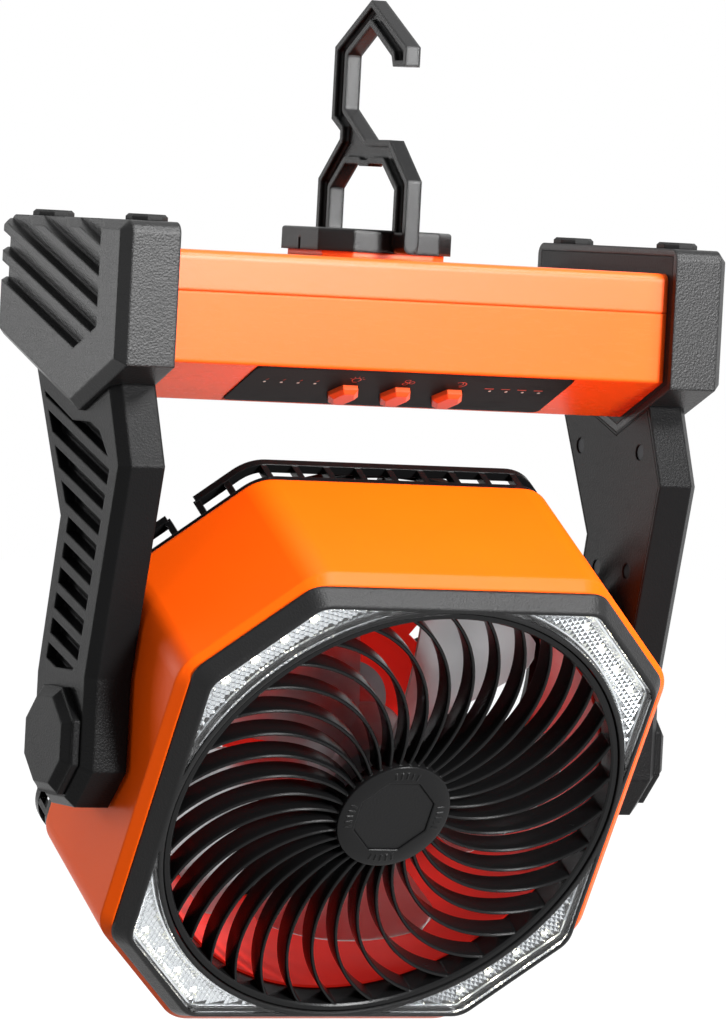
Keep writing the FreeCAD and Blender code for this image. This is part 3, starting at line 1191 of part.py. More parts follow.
def motor():
    body = rod("fan_motor", "-head_back", "motor_front", "motor_radius")
    sketch = new_sketch(body, "motor_flange_line", "XZ_Plane", "-head_back")
    add_circle(sketch, "motor_flange")
    pad(body, "motor_flange_pad", sketch, "flange_thick")
    sketch = new_sketch(body, "motor_bore", "XZ_Plane", "-shaft_back - 0.5")
    add_circle(sketch, "shaft_radius + shaft_gap")
    pocket(body, "motor_bore_cut", sketch, "motor_front + shaft_back + 1", reverse=True)
    return keep(body, "fan_motor", HEAD)


motor()


# Rear grille: an open-sided cage with spokes and a cup that carries the motor
def rectangle(centre_x, half_x, low, high):
    return [("%s - %s" % (centre_x, half_x), low), ("%s + %s" % (centre_x, half_x), low),
            ("%s + %s" % (centre_x, half_x), high), ("%s - %s" % (centre_x, half_x), high)]


def turned_rectangle(centre, half, low, high, angle):
    """A rectangle about an axis turned by angle, low and high along that axis."""
    c, s = math.cos(math.radians(angle)), math.sin(math.radians(angle))
    corners = rectangle("(%s)" % centre, "(%s)" % half, "(%s)" % low, "(%s)" % high)
    return [("(%s) * %.9f + (%s) * %.9f" % (x, c, z, -s), "(%s) * %.9f + (%s) * %.9f" % (x, s, z, c))
            for x, z in corners]


def rear_grille():
    body = new_body("rear_grille_body")
    sketch = new_sketch(body, "cage_base_line", "XZ_Plane", "-head_back - cage_base")
    add_outline(sketch, octagon("cage_half", "cage_flat"))
    add_circle(sketch, "back_opening")
    pad(body, "cage_base_pad", sketch, "cage_base")
    sketch = new_sketch(body, "cage_rim_line", "XZ_Plane", "-cage_back")
    add_outline(sketch, octagon("cage_half", "cage_flat"))
    add_outline(sketch, octagon("cage_half - cage_band", "cage_flat - 0.41 * cage_band"))
    pad(body, "cage_rim_pad", sketch, "cage_rim")
    sketch = new_sketch(body, "cage_mount_line", "XZ_Plane", "-cage_back")
    add_circle(sketch, "mount_radius")
    pad(body, "cage_mount_pad", sketch, "cage_back - head_back")
    sketch = new_sketch(body, "cage_mount_room", "XZ_Plane", "-cage_back")
    add_circle(sketch, "mount_radius - mount_floor")
    pocket(body, "cage_mount_cut", sketch, "cage_back - head_back - mount_floor", reverse=True)
    for number, radius in enumerate(("tie_ring", "(cage_half - cage_band + 1 - tie_width)")):
        sketch = new_sketch(body, "tie_ring_%d" % number, "XZ_Plane", "-cage_back")
        add_circle(sketch, radius + " + tie_width")
        add_circle(sketch, radius)
        pad(body, "tie_ring_pad_%d" % number, sketch, "slat_depth")
    sketch = new_sketch(body, "slat_line", "XZ_Plane", "-cage_back")
    add_outline(sketch, rectangle("0", "0.5 * slat_width", "mount_radius - 1", "cage_half - cage_band - 1"))
    slat = pad(body, "slat_one", sketch, "slat_depth")
    polar(body, "slats", [slat], int(size("slat_count")))
    sketch = new_sketch(body, "strut_line", "XZ_Plane", "-cage_back + 0.5 * cage_rim")
    low, high = "cage_half - cage_band + strut_inset", "cage_half - strut_inset"
    for step in range(-4, 5):
        add_outline(sketch, rectangle("%d * strut_pitch" % step, "0.5 * strut_width", low, high))
    reach = "0.70711 * (cage_half + cage_flat)"
    low, high = reach + " - cage_band + strut_inset", reach + " - strut_inset"
    for step in (-1.5, -0.5, 0.5, 1.5):
        add_outline(sketch, turned_rectangle("%s * strut_pitch" % step, "0.5 * strut_width", low, high, 45))
    struts = pad(body, "struts_one_side", sketch, "cage_back - head_back - 0.5 * cage_rim")
    polar(body, "struts", [struts], 4)
    sketch = new_sketch(body, "corner_gap_line", "XZ_Plane", "-cage_back")
    add_outline(sketch, turned_rectangle("0", "0.5 * (corner_gap - strut_width)",
                                         reach + " - 2 * cage_band", reach + " + 2", 45))
    gap = pocket(body, "corner_gap_one", sketch, "cage_rim", reverse=True)
    polar(body, "corner_gaps", [gap], 4)
    sketch = new_sketch(body, "cage_holes", "XZ_Plane", "-head_back - cage_base")
    for across, up in SCREW_CORNERS:
        add_small_round(sketch, "screw_radius", across, up)
    pocket(body, "cage_holes_cut", sketch, "cage_base", reverse=True)
    return keep(body, "rear_grille", HEAD)


SCREW_CORNERS = [("%d * screw_corner" % a, "%d * screw_corner" % b)
                 for a in (-1, 1) for b in (-1, 1)]


def cage_screws():
    made = []
    for number, (across, up) in enumerate(SCREW_CORNERS):
        body = new_body("cage_screw_%d" % number)
        sketch = new_sketch(body, "cage_screw_head_%d" % number, "XZ_Plane",
                            "-head_back - cage_base - screw_head_high")
        add_small_round(sketch, "screw_head", across, up, sides=12)
        pad(body, "cage_screw_head_pad_%d" % number, sketch, "screw_head_high")
        sketch = new_sketch(body, "cage_screw_shank_%d" % number, "XZ_Plane", "-head_back - cage_base")
        add_small_round(sketch, "screw_radius - 0.02", across, up)
        pad(body, "cage_screw_shank_pad_%d" % number, sketch, "screw_length")
        made.append(body)
    return keep(gather("cage_screws", made), "cage_screws", HEAD)


rear_grille()
cage_screws()


# Each sub-part is checked and written below
def write_parts():
    doc.recompute()
    for item in doc.Objects:
        if any(state in ("Invalid", "Error") for state in item.State):
            raise RuntimeError("%s did not build: %s" % (item.Name, item.State))
    os.makedirs("parts", exist_ok=True)
    for item in parts:
        shape = item.Shape
        if shape.isNull() or not shape.isValid():
            raise RuntimeError("%s has no valid shape" % item.Label)
        shape.exportStep("parts/%s.step" % item.Label)
        box = shape.BoundBox
        print("%-18s solids %2d volume %10.1f  x %7.1f %7.1f  y %7.1f %7.1f  z %7.1f %7.1f" % (
            item.Label, len(shape.Solids), shape.Volume, box.XMin, box.XMax, box.YMin, box.YMax,
            box.ZMin, box.ZMax))


write_parts()
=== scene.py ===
# %% [markdown]
# # A portable camping fan, lesson by lesson
# The fan hangs from a fold-out hook. A battery bar with two ribbed end caps
# carries two bent arms, and an eight-sided head tilts between them. The solids
# come finished from the CAD model, so this lesson is about what CAD leaves out:
# moulded plastic, clear prisms, small printed marks, and the studio.

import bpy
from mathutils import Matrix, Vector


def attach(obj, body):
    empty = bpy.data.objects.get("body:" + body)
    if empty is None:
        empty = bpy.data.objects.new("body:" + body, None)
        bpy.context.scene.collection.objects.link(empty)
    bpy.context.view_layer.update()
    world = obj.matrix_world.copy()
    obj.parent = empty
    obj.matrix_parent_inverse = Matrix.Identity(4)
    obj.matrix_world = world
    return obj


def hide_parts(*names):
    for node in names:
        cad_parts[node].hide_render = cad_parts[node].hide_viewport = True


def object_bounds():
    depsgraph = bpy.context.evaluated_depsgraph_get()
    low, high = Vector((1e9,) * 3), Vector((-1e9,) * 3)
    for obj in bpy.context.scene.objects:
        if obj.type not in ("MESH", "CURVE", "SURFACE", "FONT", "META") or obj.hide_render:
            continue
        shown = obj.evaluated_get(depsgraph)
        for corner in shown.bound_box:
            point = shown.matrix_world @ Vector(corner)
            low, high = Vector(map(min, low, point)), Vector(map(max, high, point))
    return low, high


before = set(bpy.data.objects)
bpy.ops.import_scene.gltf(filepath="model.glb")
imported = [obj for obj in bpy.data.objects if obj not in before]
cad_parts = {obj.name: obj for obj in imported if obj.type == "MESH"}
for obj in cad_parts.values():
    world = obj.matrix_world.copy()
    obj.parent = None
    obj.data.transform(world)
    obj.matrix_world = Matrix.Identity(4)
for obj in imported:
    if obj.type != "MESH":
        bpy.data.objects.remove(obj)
cad_low, cad_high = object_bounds()
print("CAD nodes:", len(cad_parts), "box", [round(v, 4) for v in (*cad_low, *cad_high)])

# %% The tools of this lesson
import math

import bmesh
import bpy
from mathutils import Matrix, Vector

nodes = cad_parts
scene = bpy.context.scene
scene.view_settings.view_transform = "Standard"
MM = 0.001
DIAGONAL = math.sqrt(0.5)
FOUR_IN_ROW = (-1.5, -0.5, 0.5, 1.5)  # places of four like things about their middle, in pitches
print("the pieces below are drawn in millimetres, times", MM, "for metres")

# %% [markdown]
# ## The camera
# The picture is taken from the fan's front left, nearly level, with a long lens
# and a slight roll. A camera could be aimed by eye, but then every part would
# be a little off. Here its angles and distance are written as numbers, and the
# place in the frame where the bar's middle has to land fixes the rest.

# %% Camera
FRAME_WIDE, FRAME_HIGH = 726, 1024
FOCAL_PIXELS, SENSOR = 7315.1, 36
TURN, LIFT, ROLL = math.radians(26.91), math.radians(2.04), math.radians(3.01)
DISTANCE = 2.784
BAR_MIDDLE = Vector((0, 0, -0.1035))
BAR_PIXEL = (363.3, 298.3)


def camera_axes():
    """Right, up and backward directions of the camera, in the fan's frame."""
    level = math.cos(LIFT)
    back = Vector((-math.sin(TURN) * level, -math.cos(TURN) * level, math.sin(LIFT)))
    level_right = Vector((math.cos(TURN), -math.sin(TURN), 0))
    level_up = back.cross(level_right)
    right = math.cos(ROLL) * level_right + math.sin(ROLL) * level_up
    up = -math.sin(ROLL) * level_right + math.cos(ROLL) * level_up
    return right, up, back


cam_right, cam_up, cam_back = camera_axes()
aside = (BAR_PIXEL[0] - FRAME_WIDE / 2) * DISTANCE / FOCAL_PIXELS
above = -(BAR_PIXEL[1] - FRAME_HIGH / 2) * DISTANCE / FOCAL_PIXELS
cam_data = bpy.data.cameras.new("studio_camera")
cam_data.sensor_width = SENSOR
cam_data.lens = FOCAL_PIXELS * SENSOR / FRAME_HIGH
camera = bpy.data.objects.new("studio_camera", cam_data)
scene.collection.objects.link(camera)
place = BAR_MIDDLE - aside * cam_right - above * cam_up + DISTANCE * cam_back
turn = Matrix((cam_right, cam_up, cam_back)).transposed().to_4x4()
camera.matrix_world = Matrix.Translation(place) @ turn
scene.camera = camera
print("lens %.1f mm, camera at" % cam_data.lens, [round(v, 3) for v in place])

# %% [markdown]
# ## Floor, backdrop and world
# A product on white needs a white surround that doesn't also flood it with
# light. The world answers camera, mirror and glass rays with plain white, and
# all other rays with a softer grey that is darker from below. The floor does
# the same, so the fan's underside stays as dark as in a real studio.

# %% World
SKY = ((0.35, (0.05, 0.05, 0.05, 1)), (0.85, (0.42, 0.42, 0.43, 1)))  # height from 0 to 1, and grey
world = bpy.data.worlds.new("studio_world")
scene.world = world
world.use_nodes = True


def add(tree, kind, **settings):
    """A new node with its settings, where a key like in_Scale sets a socket."""
    node = tree.nodes.new(kind)
    for key, value in settings.items():
        if key.startswith("in_"):
            node.inputs[key[3:].replace("_", " ")].default_value = value
        else:
            setattr(node, key, value)
    return node


def join(tree, source, target):
    tree.links.new(source, target)


def surround_switch(tree):
    """1 for camera, glossy and transmission rays, 0 for all others."""
    path = add(tree, "ShaderNodeLightPath")
    seen = path.outputs["Is Camera Ray"]
    for kind in ("Is Glossy Ray", "Is Transmission Ray"):
        either = add(tree, "ShaderNodeMath", operation="MAXIMUM")
        join(tree, seen, either.inputs[0])
        join(tree, path.outputs[kind], either.inputs[1])
        seen = either.outputs[0]
    return seen


def build_world():
    tree = world.node_tree
    tree.nodes.clear()
    out = add(tree, "ShaderNodeOutputWorld")
    white = add(tree, "ShaderNodeBackground", in_Color=(1, 1, 1, 1), in_Strength=1.0)
    soft = add(tree, "ShaderNodeBackground", in_Strength=1.0)
    coords = add(tree, "ShaderNodeTexCoord")
    split = add(tree, "ShaderNodeSeparateXYZ")
    ramp = add(tree, "ShaderNodeValToRGB")
    for stop, (height, grey) in zip(ramp.color_ramp.elements, SKY):
        stop.position, stop.color = height, grey
    shift = add(tree, "ShaderNodeMath", operation="MULTIPLY_ADD")
    shift.inputs[1].default_value = 0.5
    shift.inputs[2].default_value = 0.5
    join(tree, coords.outputs["Generated"], split.inputs[0])
    join(tree, split.outputs["Z"], shift.inputs[0])
    join(tree, shift.outputs[0], ramp.inputs[0])
    join(tree, ramp.outputs[0], soft.inputs["Color"])
    mix = add(tree, "ShaderNodeMixShader")
    join(tree, surround_switch(tree), mix.inputs[0])
    join(tree, soft.outputs[0], mix.inputs[1])
    join(tree, white.outputs[0], mix.inputs[2])
    join(tree, mix.outputs[0], out.inputs[0])


build_world()
print("world ready")

# %% Floor
FLOOR_SIZE, FLOOR_DROP = 6.0, 0.12  # metres


def build_floor():
    """A pale floor well under the hanging fan."""
    mesh = bpy.data.meshes.new("studio_floor")
    form = bmesh.new()
    bmesh.ops.create_grid(form, x_segments=2, y_segments=2, size=FLOOR_SIZE)
    form.to_mesh(mesh)
    form.free()
    floor = bpy.data.objects.new("studio_floor", mesh)
    floor.location = (0, 0, cad_low.z - FLOOR_DROP)
    scene.collection.objects.link(floor)
    paint = bpy.data.materials.new("studio_floor")
    paint.use_nodes = True
    tree = paint.node_tree
    tree.nodes.clear()
    out = add(tree, "ShaderNodeOutputMaterial")
    matt = add(tree, "ShaderNodeBsdfDiffuse", in_Color=(0.16, 0.16, 0.16, 1))
    glow = add(tree, "ShaderNodeEmission", in_Color=(1, 1, 1, 1), in_Strength=0.94)
    pale = add(tree, "ShaderNodeAddShader")
    mix = add(tree, "ShaderNodeMixShader")
    join(tree, matt.outputs[0], pale.inputs[0])
    join(tree, glow.outputs[0], pale.inputs[1])
    join(tree, surround_switch(tree), mix.inputs[0])
    join(tree, matt.outputs[0], mix.inputs[1])
    join(tree, pale.outputs[0], mix.inputs[2])
    join(tree, mix.outputs[0], out.inputs[0])
    mesh.materials.append(paint)
    return floor


floor = build_floor()
print("floor at z = %.3f" % floor.location.z)

# %% [markdown]
# ## Lamps
# The plastic shows its shape by what it reflects. Upright front faces look
# towards a tall softbox at the front right, and the head's sloping top towards
# one high in front. A lamp above brightens what faces up. The outer side faces
# look towards a weaker softbox behind on the left and a faint fill beside it.

# %% Lamps
def softbox(name, spot, aim, wide, high, watts):
    """A rectangular lamp at spot that looks at aim."""
    light = bpy.data.lights.new(name, "AREA")
    light.shape = "RECTANGLE"
    light.size, light.size_y = wide, high
    light.energy = watts
    lamp = bpy.data.objects.new(name, light)
    lamp.location = spot
    lamp.rotation_mode = "QUATERNION"
    lamp.rotation_quaternion = (Vector(aim) - Vector(spot)).to_track_quat("-Z", "Y")
    scene.collection.objects.link(lamp)


CENTRE = (0, 0, -0.2)
softbox("front_right_softbox", (0.78, -2.1, 0.44), CENTRE, 0.5, 1.0, 110)
softbox("high_front_softbox", (0.75, -1.0, 1.25), CENTRE, 0.7, 0.6, 42)
softbox("top_lamp", (-0.1, 0.1, 1.6), CENTRE, 1.2, 1.2, 13)
softbox("back_left_softbox", (-1.5, 1.6, 0.0), CENTRE, 0.7, 1.2, 18)
softbox("left_fill", (-1.9, -0.6, -0.2), CENTRE, 0.7, 1.0, 2)
print("lamps ready")

# %% [markdown]
# ## Shared finishes as node groups
# Moulded plastic is never one flat colour. It has a fine spark-eroded grain, a
# slow drift in tone, and faint rub marks that change its roughness. Each effect
# is one node group that is built once, and each material sets its own scale and
# amount.

# %% Group: moulded grain
MIX_FIRST, MIX_SECOND, MIX_OUT = 6, 7, 2  # the colour sockets of a Mix node


def new_group(name, sockets_in, sockets_out):
    """An empty shader group with named inputs (name, kind, default) and outputs."""
    group = bpy.data.node_groups.new(name, "ShaderNodeTree")
    for title, kind, default in sockets_in:
        socket = group.interface.new_socket(name=title, in_out="INPUT", socket_type=kind)
        if default is not None:
            socket.default_value = default
    for title, kind in sockets_out:
        group.interface.new_socket(name=title, in_out="OUTPUT", socket_type=kind)
    return group, add(group, "NodeGroupInput"), add(group, "NodeGroupOutput")


def build_grain():
    """Height of a fine even grain: small cells with finer noise on top."""
    group, inside, outside = new_group("moulded_grain", [("Scale", "NodeSocketFloat", 1400.0)],
                                       [("Height", "NodeSocketFloat"), ("Mask", "NodeSocketFloat")])
    coords = add(group, "ShaderNodeTexCoord")
    cells = add(group, "ShaderNodeTexVoronoi", feature="SMOOTH_F1")
    noise = add(group, "ShaderNodeTexNoise", in_Detail=3.0, in_Roughness=0.6)
    for tex in (cells, noise):
        join(group, coords.outputs["Object"], tex.inputs["Vector"])
        join(group, inside.outputs["Scale"], tex.inputs["Scale"])
    both = add(group, "ShaderNodeMath", operation="MULTIPLY_ADD")
    both.inputs[1].default_value = 0.6
    join(group, cells.outputs["Distance"], both.inputs[0])
    join(group, noise.outputs[0], both.inputs[2])
    join(group, both.outputs[0], outside.inputs["Height"])
    join(group, noise.outputs[0], outside.inputs["Mask"])
    return group


grain_group = build_grain()
print("group", grain_group.name)

# %% Group: tone drift and rub marks
def build_drift():
    """Two colours mixed by a slow cloud, with a mask of faint scuffs."""
    group, inside, outside = new_group(
        "tone_drift",
        [("Colour", "NodeSocketColor", (0.5, 0.5, 0.5, 1)),
         ("Second", "NodeSocketColor", (0.4, 0.4, 0.4, 1)),
         ("Scale", "NodeSocketFloat", 18.0), ("Amount", "NodeSocketFloat", 0.5)],
        [("Colour", "NodeSocketColor"), ("Scuff", "NodeSocketFloat")])
    coords = add(group, "ShaderNodeTexCoord")
    cloud = add(group, "ShaderNodeTexNoise", in_Detail=4.0, in_Roughness=0.55)
    join(group, coords.outputs["Object"], cloud.inputs["Vector"])
    join(group, inside.outputs["Scale"], cloud.inputs["Scale"])
    amount = add(group, "ShaderNodeMath", operation="MULTIPLY")
    join(group, cloud.outputs[0], amount.inputs[0])
    join(group, inside.outputs["Amount"], amount.inputs[1])
    mix = add(group, "ShaderNodeMix", data_type="RGBA")
    join(group, amount.outputs[0], mix.inputs[0])
    join(group, inside.outputs["Colour"], mix.inputs[MIX_FIRST])
    join(group, inside.outputs["Second"], mix.inputs[MIX_SECOND])
    stretch = add(group, "ShaderNodeMapping", in_Scale=(60, 60, 420))
    streak = add(group, "ShaderNodeTexNoise", in_Scale=1.0, in_Detail=5.0, in_Roughness=0.7)
    join(group, coords.outputs["Object"], stretch.inputs["Vector"])
    join(group, stretch.outputs[0], streak.inputs["Vector"])
    ramp = add(group, "ShaderNodeMapRange", in_From_Min=0.55, in_From_Max=0.75)
    join(group, streak.outputs[0], ramp.inputs["Value"])
    join(group, mix.outputs[MIX_OUT], outside.inputs["Colour"])
    join(group, ramp.outputs[0], outside.inputs["Scuff"])
    return group


drift_group = build_drift()
print("group", drift_group.name)

# %% [markdown]
# ## Soft edges
# No moulded edge is sharp. The solids have crisp edges, and rounding each one in
# the mesh would mean changing them. A bevel node bends the normal near an edge
# instead, so that each edge catches the light as a small radius does.

# %% Group: soft edges
def build_soft_edges():
    """A normal that is rounded near edges, by a radius in metres."""
    group, inside, outside = new_group("soft_edges", [("Radius", "NodeSocketFloat", 0.0008)],
                                       [("Normal", "NodeSocketVector")])
    bevel = add(group, "ShaderNodeBevel", samples=4)
    join(group, inside.outputs["Radius"], bevel.inputs["Radius"])
    join(group, bevel.outputs["Normal"], outside.inputs["Normal"])
    return group


edge_group = build_soft_edges()
print("group", edge_group.name)

# %% [markdown]
# ## Moulded plastics
# One recipe makes the satin orange, the fine-textured black, the glossier black
# of the hook and the grille, and the small parts. Colour, roughness, gloss, edge
# radius, grain size and grain depth change, as they do in the real moulds. The
# head, bar and cover differ partly because of how light falls on them, and so do
# the arms and caps: painted sheen and shade. The duct also glows a little, as
# painted light that stands in for the light falling inside the head.

# %% Recipe for moulded plastic
DRIFT_SCALE, ROUGH_SWING = 18.0, 0.08


def place_group(tree, group, **settings):
    node = add(tree, "ShaderNodeGroup", node_tree=group)
    for key, value in settings.items():
        node.inputs[key].default_value = value
    return node


def new_paint(name, **settings):
    """A new material with its tree and shader, where a key like Base_Color sets a socket."""
    paint = bpy.data.materials.new(name)
    paint.use_nodes = True
    shader = paint.node_tree.nodes["Principled BSDF"]
    for key, value in settings.items():
        shader.inputs[key.replace("_", " ")].default_value = value
    return paint, paint.node_tree, shader


def add_tone(tree, shader, colour, second, scale):
    """Two colours that drift into each other, as the base colour."""
    tone = place_group(tree, drift_group, Colour=(*colour, 1), Second=(*second, 1), Scale=scale, Amount=1.0)
    join(tree, tone.outputs["Colour"], shader.inputs["Base Color"])
    return tone


def add_swing(tree, shader, tone, low, high):
    """Roughness that rises from low to high in the scuffs."""
    swing = add(tree, "ShaderNodeMapRange", in_To_Min=low, in_To_Max=high)
    join(tree, tone.outputs["Scuff"], swing.inputs["Value"])
    join(tree, swing.outputs[0], shader.inputs["Roughness"])


def add_bump(tree, shader, grain, depth, distance=0.0002, edge=None):
    """The grain as a bump, on edges that are rounded by a radius when one is given."""
    texture = place_group(tree, grain_group, Scale=grain)
    bump = add(tree, "ShaderNodeBump", in_Strength=depth, in_Distance=distance)
    join(tree, texture.outputs["Height"], bump.inputs["Height"])
    if edge is not None:
        soft = place_group(tree, edge_group, Radius=edge)
        join(tree, soft.outputs["Normal"], bump.inputs["Normal"])
    join(tree, bump.outputs[0], shader.inputs["Normal"])


def add_painted_glow(tree, shader, tone, strength):
    """Painted light: a glow that stands in for the light falling inside the part, strong on its left and
    fading to its right.
    """
    coords = add(tree, "ShaderNodeTexCoord")
    parts = add(tree, "ShaderNodeSeparateXYZ")
    fade = add(tree, "ShaderNodeMapRange", in_From_Min=0.005, in_From_Max=0.075,
               in_To_Min=1.0, in_To_Max=0.12)
    lit = add(tree, "ShaderNodeMix", data_type="RGBA")
    lit.inputs[MIX_FIRST].default_value = (0, 0, 0, 1)
    join(tree, coords.outputs["Object"], parts.inputs[0])
    join(tree, parts.outputs["X"], fade.inputs["Value"])
    join(tree, fade.outputs[0], lit.inputs[0])
    join(tree, tone.outputs["Colour"], lit.inputs[MIX_SECOND])
    join(tree, lit.outputs[MIX_OUT], shader.inputs["Emission Color"])
    shader.inputs["Emission Strength"].default_value = strength


def moulded(name, colour, second, rough, grain, depth, coat=0.0, specular=0.2, edge=0.0008, glow=0.0):
    """A plastic whose grain, tone and roughness vary a little; glow is painted light that stands in for light
    falling inside the part.
    """
    paint, tree, shader = new_paint(name, Specular_IOR_Level=specular, Coat_Roughness=0.25, Coat_Weight=coat)
    tone = add_tone(tree, shader, colour, second, DRIFT_SCALE)
    if glow:
        add_painted_glow(tree, shader, tone, glow)
    add_swing(tree, shader, tone, rough, rough + ROUGH_SWING)
    add_bump(tree, shader, grain, depth, edge=edge)
    return paint


# three copies of one orange: the bar's and cover's paler colour and higher gloss are partly painted sheen,
# set for how light falls on them
shell_orange = moulded("shell_orange", (0.94, 0.108, 0.002), (0.91, 0.090, 0.002), 0.38, 1700, 0.12,
                       specular=0.08, edge=0.0012)
bar_orange = moulded("bar_orange", (0.90, 0.105, 0.008), (0.87, 0.090, 0.008), 0.27, 1700, 0.12,
                     specular=0.11, edge=0.0012)
cover_orange = moulded("cover_orange", (0.90, 0.105, 0.010), (0.87, 0.090, 0.010), 0.30, 1700, 0.12,
                       specular=0.22, edge=0.0014)
# the duct's glow is painted light, brightest on its left, standing in for the light inside the head
duct_orange = moulded("duct_orange", (0.90, 0.022, 0.010), (0.84, 0.016, 0.010), 0.38, 1500, 0.10, glow=0.22)
button_orange = moulded("button_orange", (0.76, 0.09, 0.020), (0.70, 0.075, 0.016), 0.40, 2200, 0.12)
cap_black = moulded("cap_black", (0.007, 0.007, 0.0072), (0.011, 0.011, 0.0112), 0.34, 1300, 0.55,
                    specular=0.19, edge=0.0014)
# the arms get a darker black with less gloss than the caps, partly as painted shade for how light falls on
# them
arm_black = moulded("arm_black", (0.004, 0.004, 0.0042), (0.007, 0.007, 0.0072), 0.28, 1300, 0.45,
                    specular=0.06, edge=0.0014)
lid_black = moulded("lid_black", (0.007, 0.007, 0.0072), (0.010, 0.010, 0.0102), 0.46, 1300, 0.50,
                    specular=0.10)
hook_black = moulded("hook_black", (0.005, 0.005, 0.0052), (0.008, 0.008, 0.0082), 0.20, 1900, 0.20,
                     specular=0.17, edge=0.0016)
grille_black = moulded("grille_black", (0.004, 0.004, 0.0042), (0.006, 0.006, 0.0062), 0.22, 2000, 0.15,
                       specular=0.13, edge=0.0005)
bezel_black = moulded("bezel_black", (0.006, 0.006, 0.0062), (0.010, 0.010, 0.0102), 0.38, 1300, 0.75,
                      specular=0.17, edge=0.0014)
panel_black = moulded("panel_black", (0.007, 0.006, 0.006), (0.011, 0.009, 0.009), 0.50, 2400, 0.30,
                      specular=0.04)
foot_rubber = moulded("foot_rubber", (0.008, 0.008, 0.008), (0.014, 0.014, 0.014), 0.60, 1500, 0.50,
                      specular=0.15)
bush_white = moulded("bush_white", (0.70, 0.70, 0.66), (0.62, 0.62, 0.58), 0.45, 1600, 0.10)
board_green = moulded("board_green", (0.015, 0.15, 0.06), (0.02, 0.11, 0.05), 0.35, 900, 0.10, coat=0.5)
cell_sleeve = moulded("cell_sleeve", (0.06, 0.22, 0.42), (0.05, 0.17, 0.34), 0.25, 700, 0.05, coat=0.4)
print("plastics ready")

# %% [markdown]
# ## Metal, smoky blades, clear lenses and lamps
# The screws, pins and shaft are turned or rolled steel with fine streaks. The
# blades are a smoky clear plastic, so that the orange duct and the daylight
# behind them show through, darker. The lenses are clear and pressed with small
# prisms. The boards behind them glow, partly for their own lamps and partly as
# painted light for the studio light that does not pass the lenses.

# %% Metals
def turned_steel(name, colour, rough):
    """Steel with fine streaks from the lathe."""
    paint, tree, shader = new_paint(name, Metallic=1.0)
    tone = add_tone(tree, shader, colour, [0.8 * v for v in colour], 120.0)
    add_swing(tree, shader, tone, rough, rough + 0.15)
    return paint


bright_steel = turned_steel("bright_steel", (0.62, 0.62, 0.63), 0.28)
black_steel = turned_steel("black_steel", (0.010, 0.010, 0.011), 0.36)
motor_zinc = turned_steel("motor_zinc", (0.42, 0.42, 0.43), 0.42)
print("metals ready")

# %% Smoky blades
def smoky(name):
    """Smoke-tinted frosted plastic that passes about half of the light, scattered."""
    paint, tree, shader = new_paint(name, Roughness=0.30, Specular_IOR_Level=0.25, Transmission_Weight=0.92,
                                    IOR=1.35)
    add_tone(tree, shader, (0.60, 0.60, 0.61), (0.52, 0.52, 0.53), 22.0)
    add_bump(tree, shader, 900.0, 0.05)
    return paint


blade_smoke = smoky("blade_smoke")
print("blade finish ready")

# %% [markdown]
# ## The head's own frame
# The head hangs tilted, and its details are easier to draw flat. This helper
# takes a point drawn on the head's face, across, up and forward of the tilt
# axis in millimetres, to its place on the tilted head.

# %% From the head's face to the fan's frame
TILT = math.radians(30.4)
TILT_AXIS = Vector((0, -7.5 * MM, -273.2 * MM))


def on_head(across, up, forward):
    """A point of the head in metres, from its own millimetres."""
    c, s = math.cos(TILT), math.sin(TILT)
    y, z = -forward * MM, up * MM
    return TILT_AXIS + Vector((across * MM, y * c - z * s, y * s + z * c))


print("head's front centre:", [round(v, 4) for v in on_head(0, 0, 47)])

# %% Clear lens
def clear_lens(name):
    """Clear plastic with the faint ripple of a moulded window."""
    paint, tree, shader = new_paint(name, Base_Color=(0.96, 0.97, 0.98, 1), Transmission_Weight=1.0, IOR=1.45,
                                    Roughness=0.05)
    add_bump(tree, shader, 260.0, 0.04, 0.0004, edge=0.0012)
    return paint


lens_clear = clear_lens("lens_clear")
print("lens ready")

# %% Glowing boards behind the lenses, partly painted light
def board_with_painted_glow(name):
    """A white board that glows in brighter and darker patches: partly its own lamps' light, partly painted
    light.
    """
    paint, tree, shader = new_paint(name, Roughness=0.35, Emission_Strength=0.35)
    tone = add_tone(tree, shader, (0.90, 0.93, 0.95), (0.45, 0.47, 0.48), 300.0)
    join(tree, tone.outputs["Colour"], shader.inputs["Emission Color"])
    return paint


# the board's glow is partly painted light for studio light that the clear lens keeps out
led_board_white = board_with_painted_glow("led_board_white")
prism_silver = turned_steel("prism_silver", (0.78, 0.80, 0.81), 0.12)
# a darker copy of the prism finish, for one side of each prism: painted shade
prism_shade = turned_steel("prism_shade", (0.15, 0.16, 0.17), 0.22)
print("board finish ready")

# %% Glowing lamps
def glowing(name, colour, strength):
    paint, tree, shader = new_paint(name, Emission_Color=(*colour, 1), Emission_Strength=strength)
    add_tone(tree, shader, (0.95, 0.92, 0.7), (0.95, 0.85, 0.45), 900.0)
    return paint


led_glow = glowing("led_glow", (1.0, 0.93, 0.76), 12.0)
print("lamp finish ready")

# %% [markdown]
# ## Dress the CAD solids
# A rigid solid whose shape is right stays as it is and only gets its finish.
# The table below says which finish each piece of the fan is moulded in.

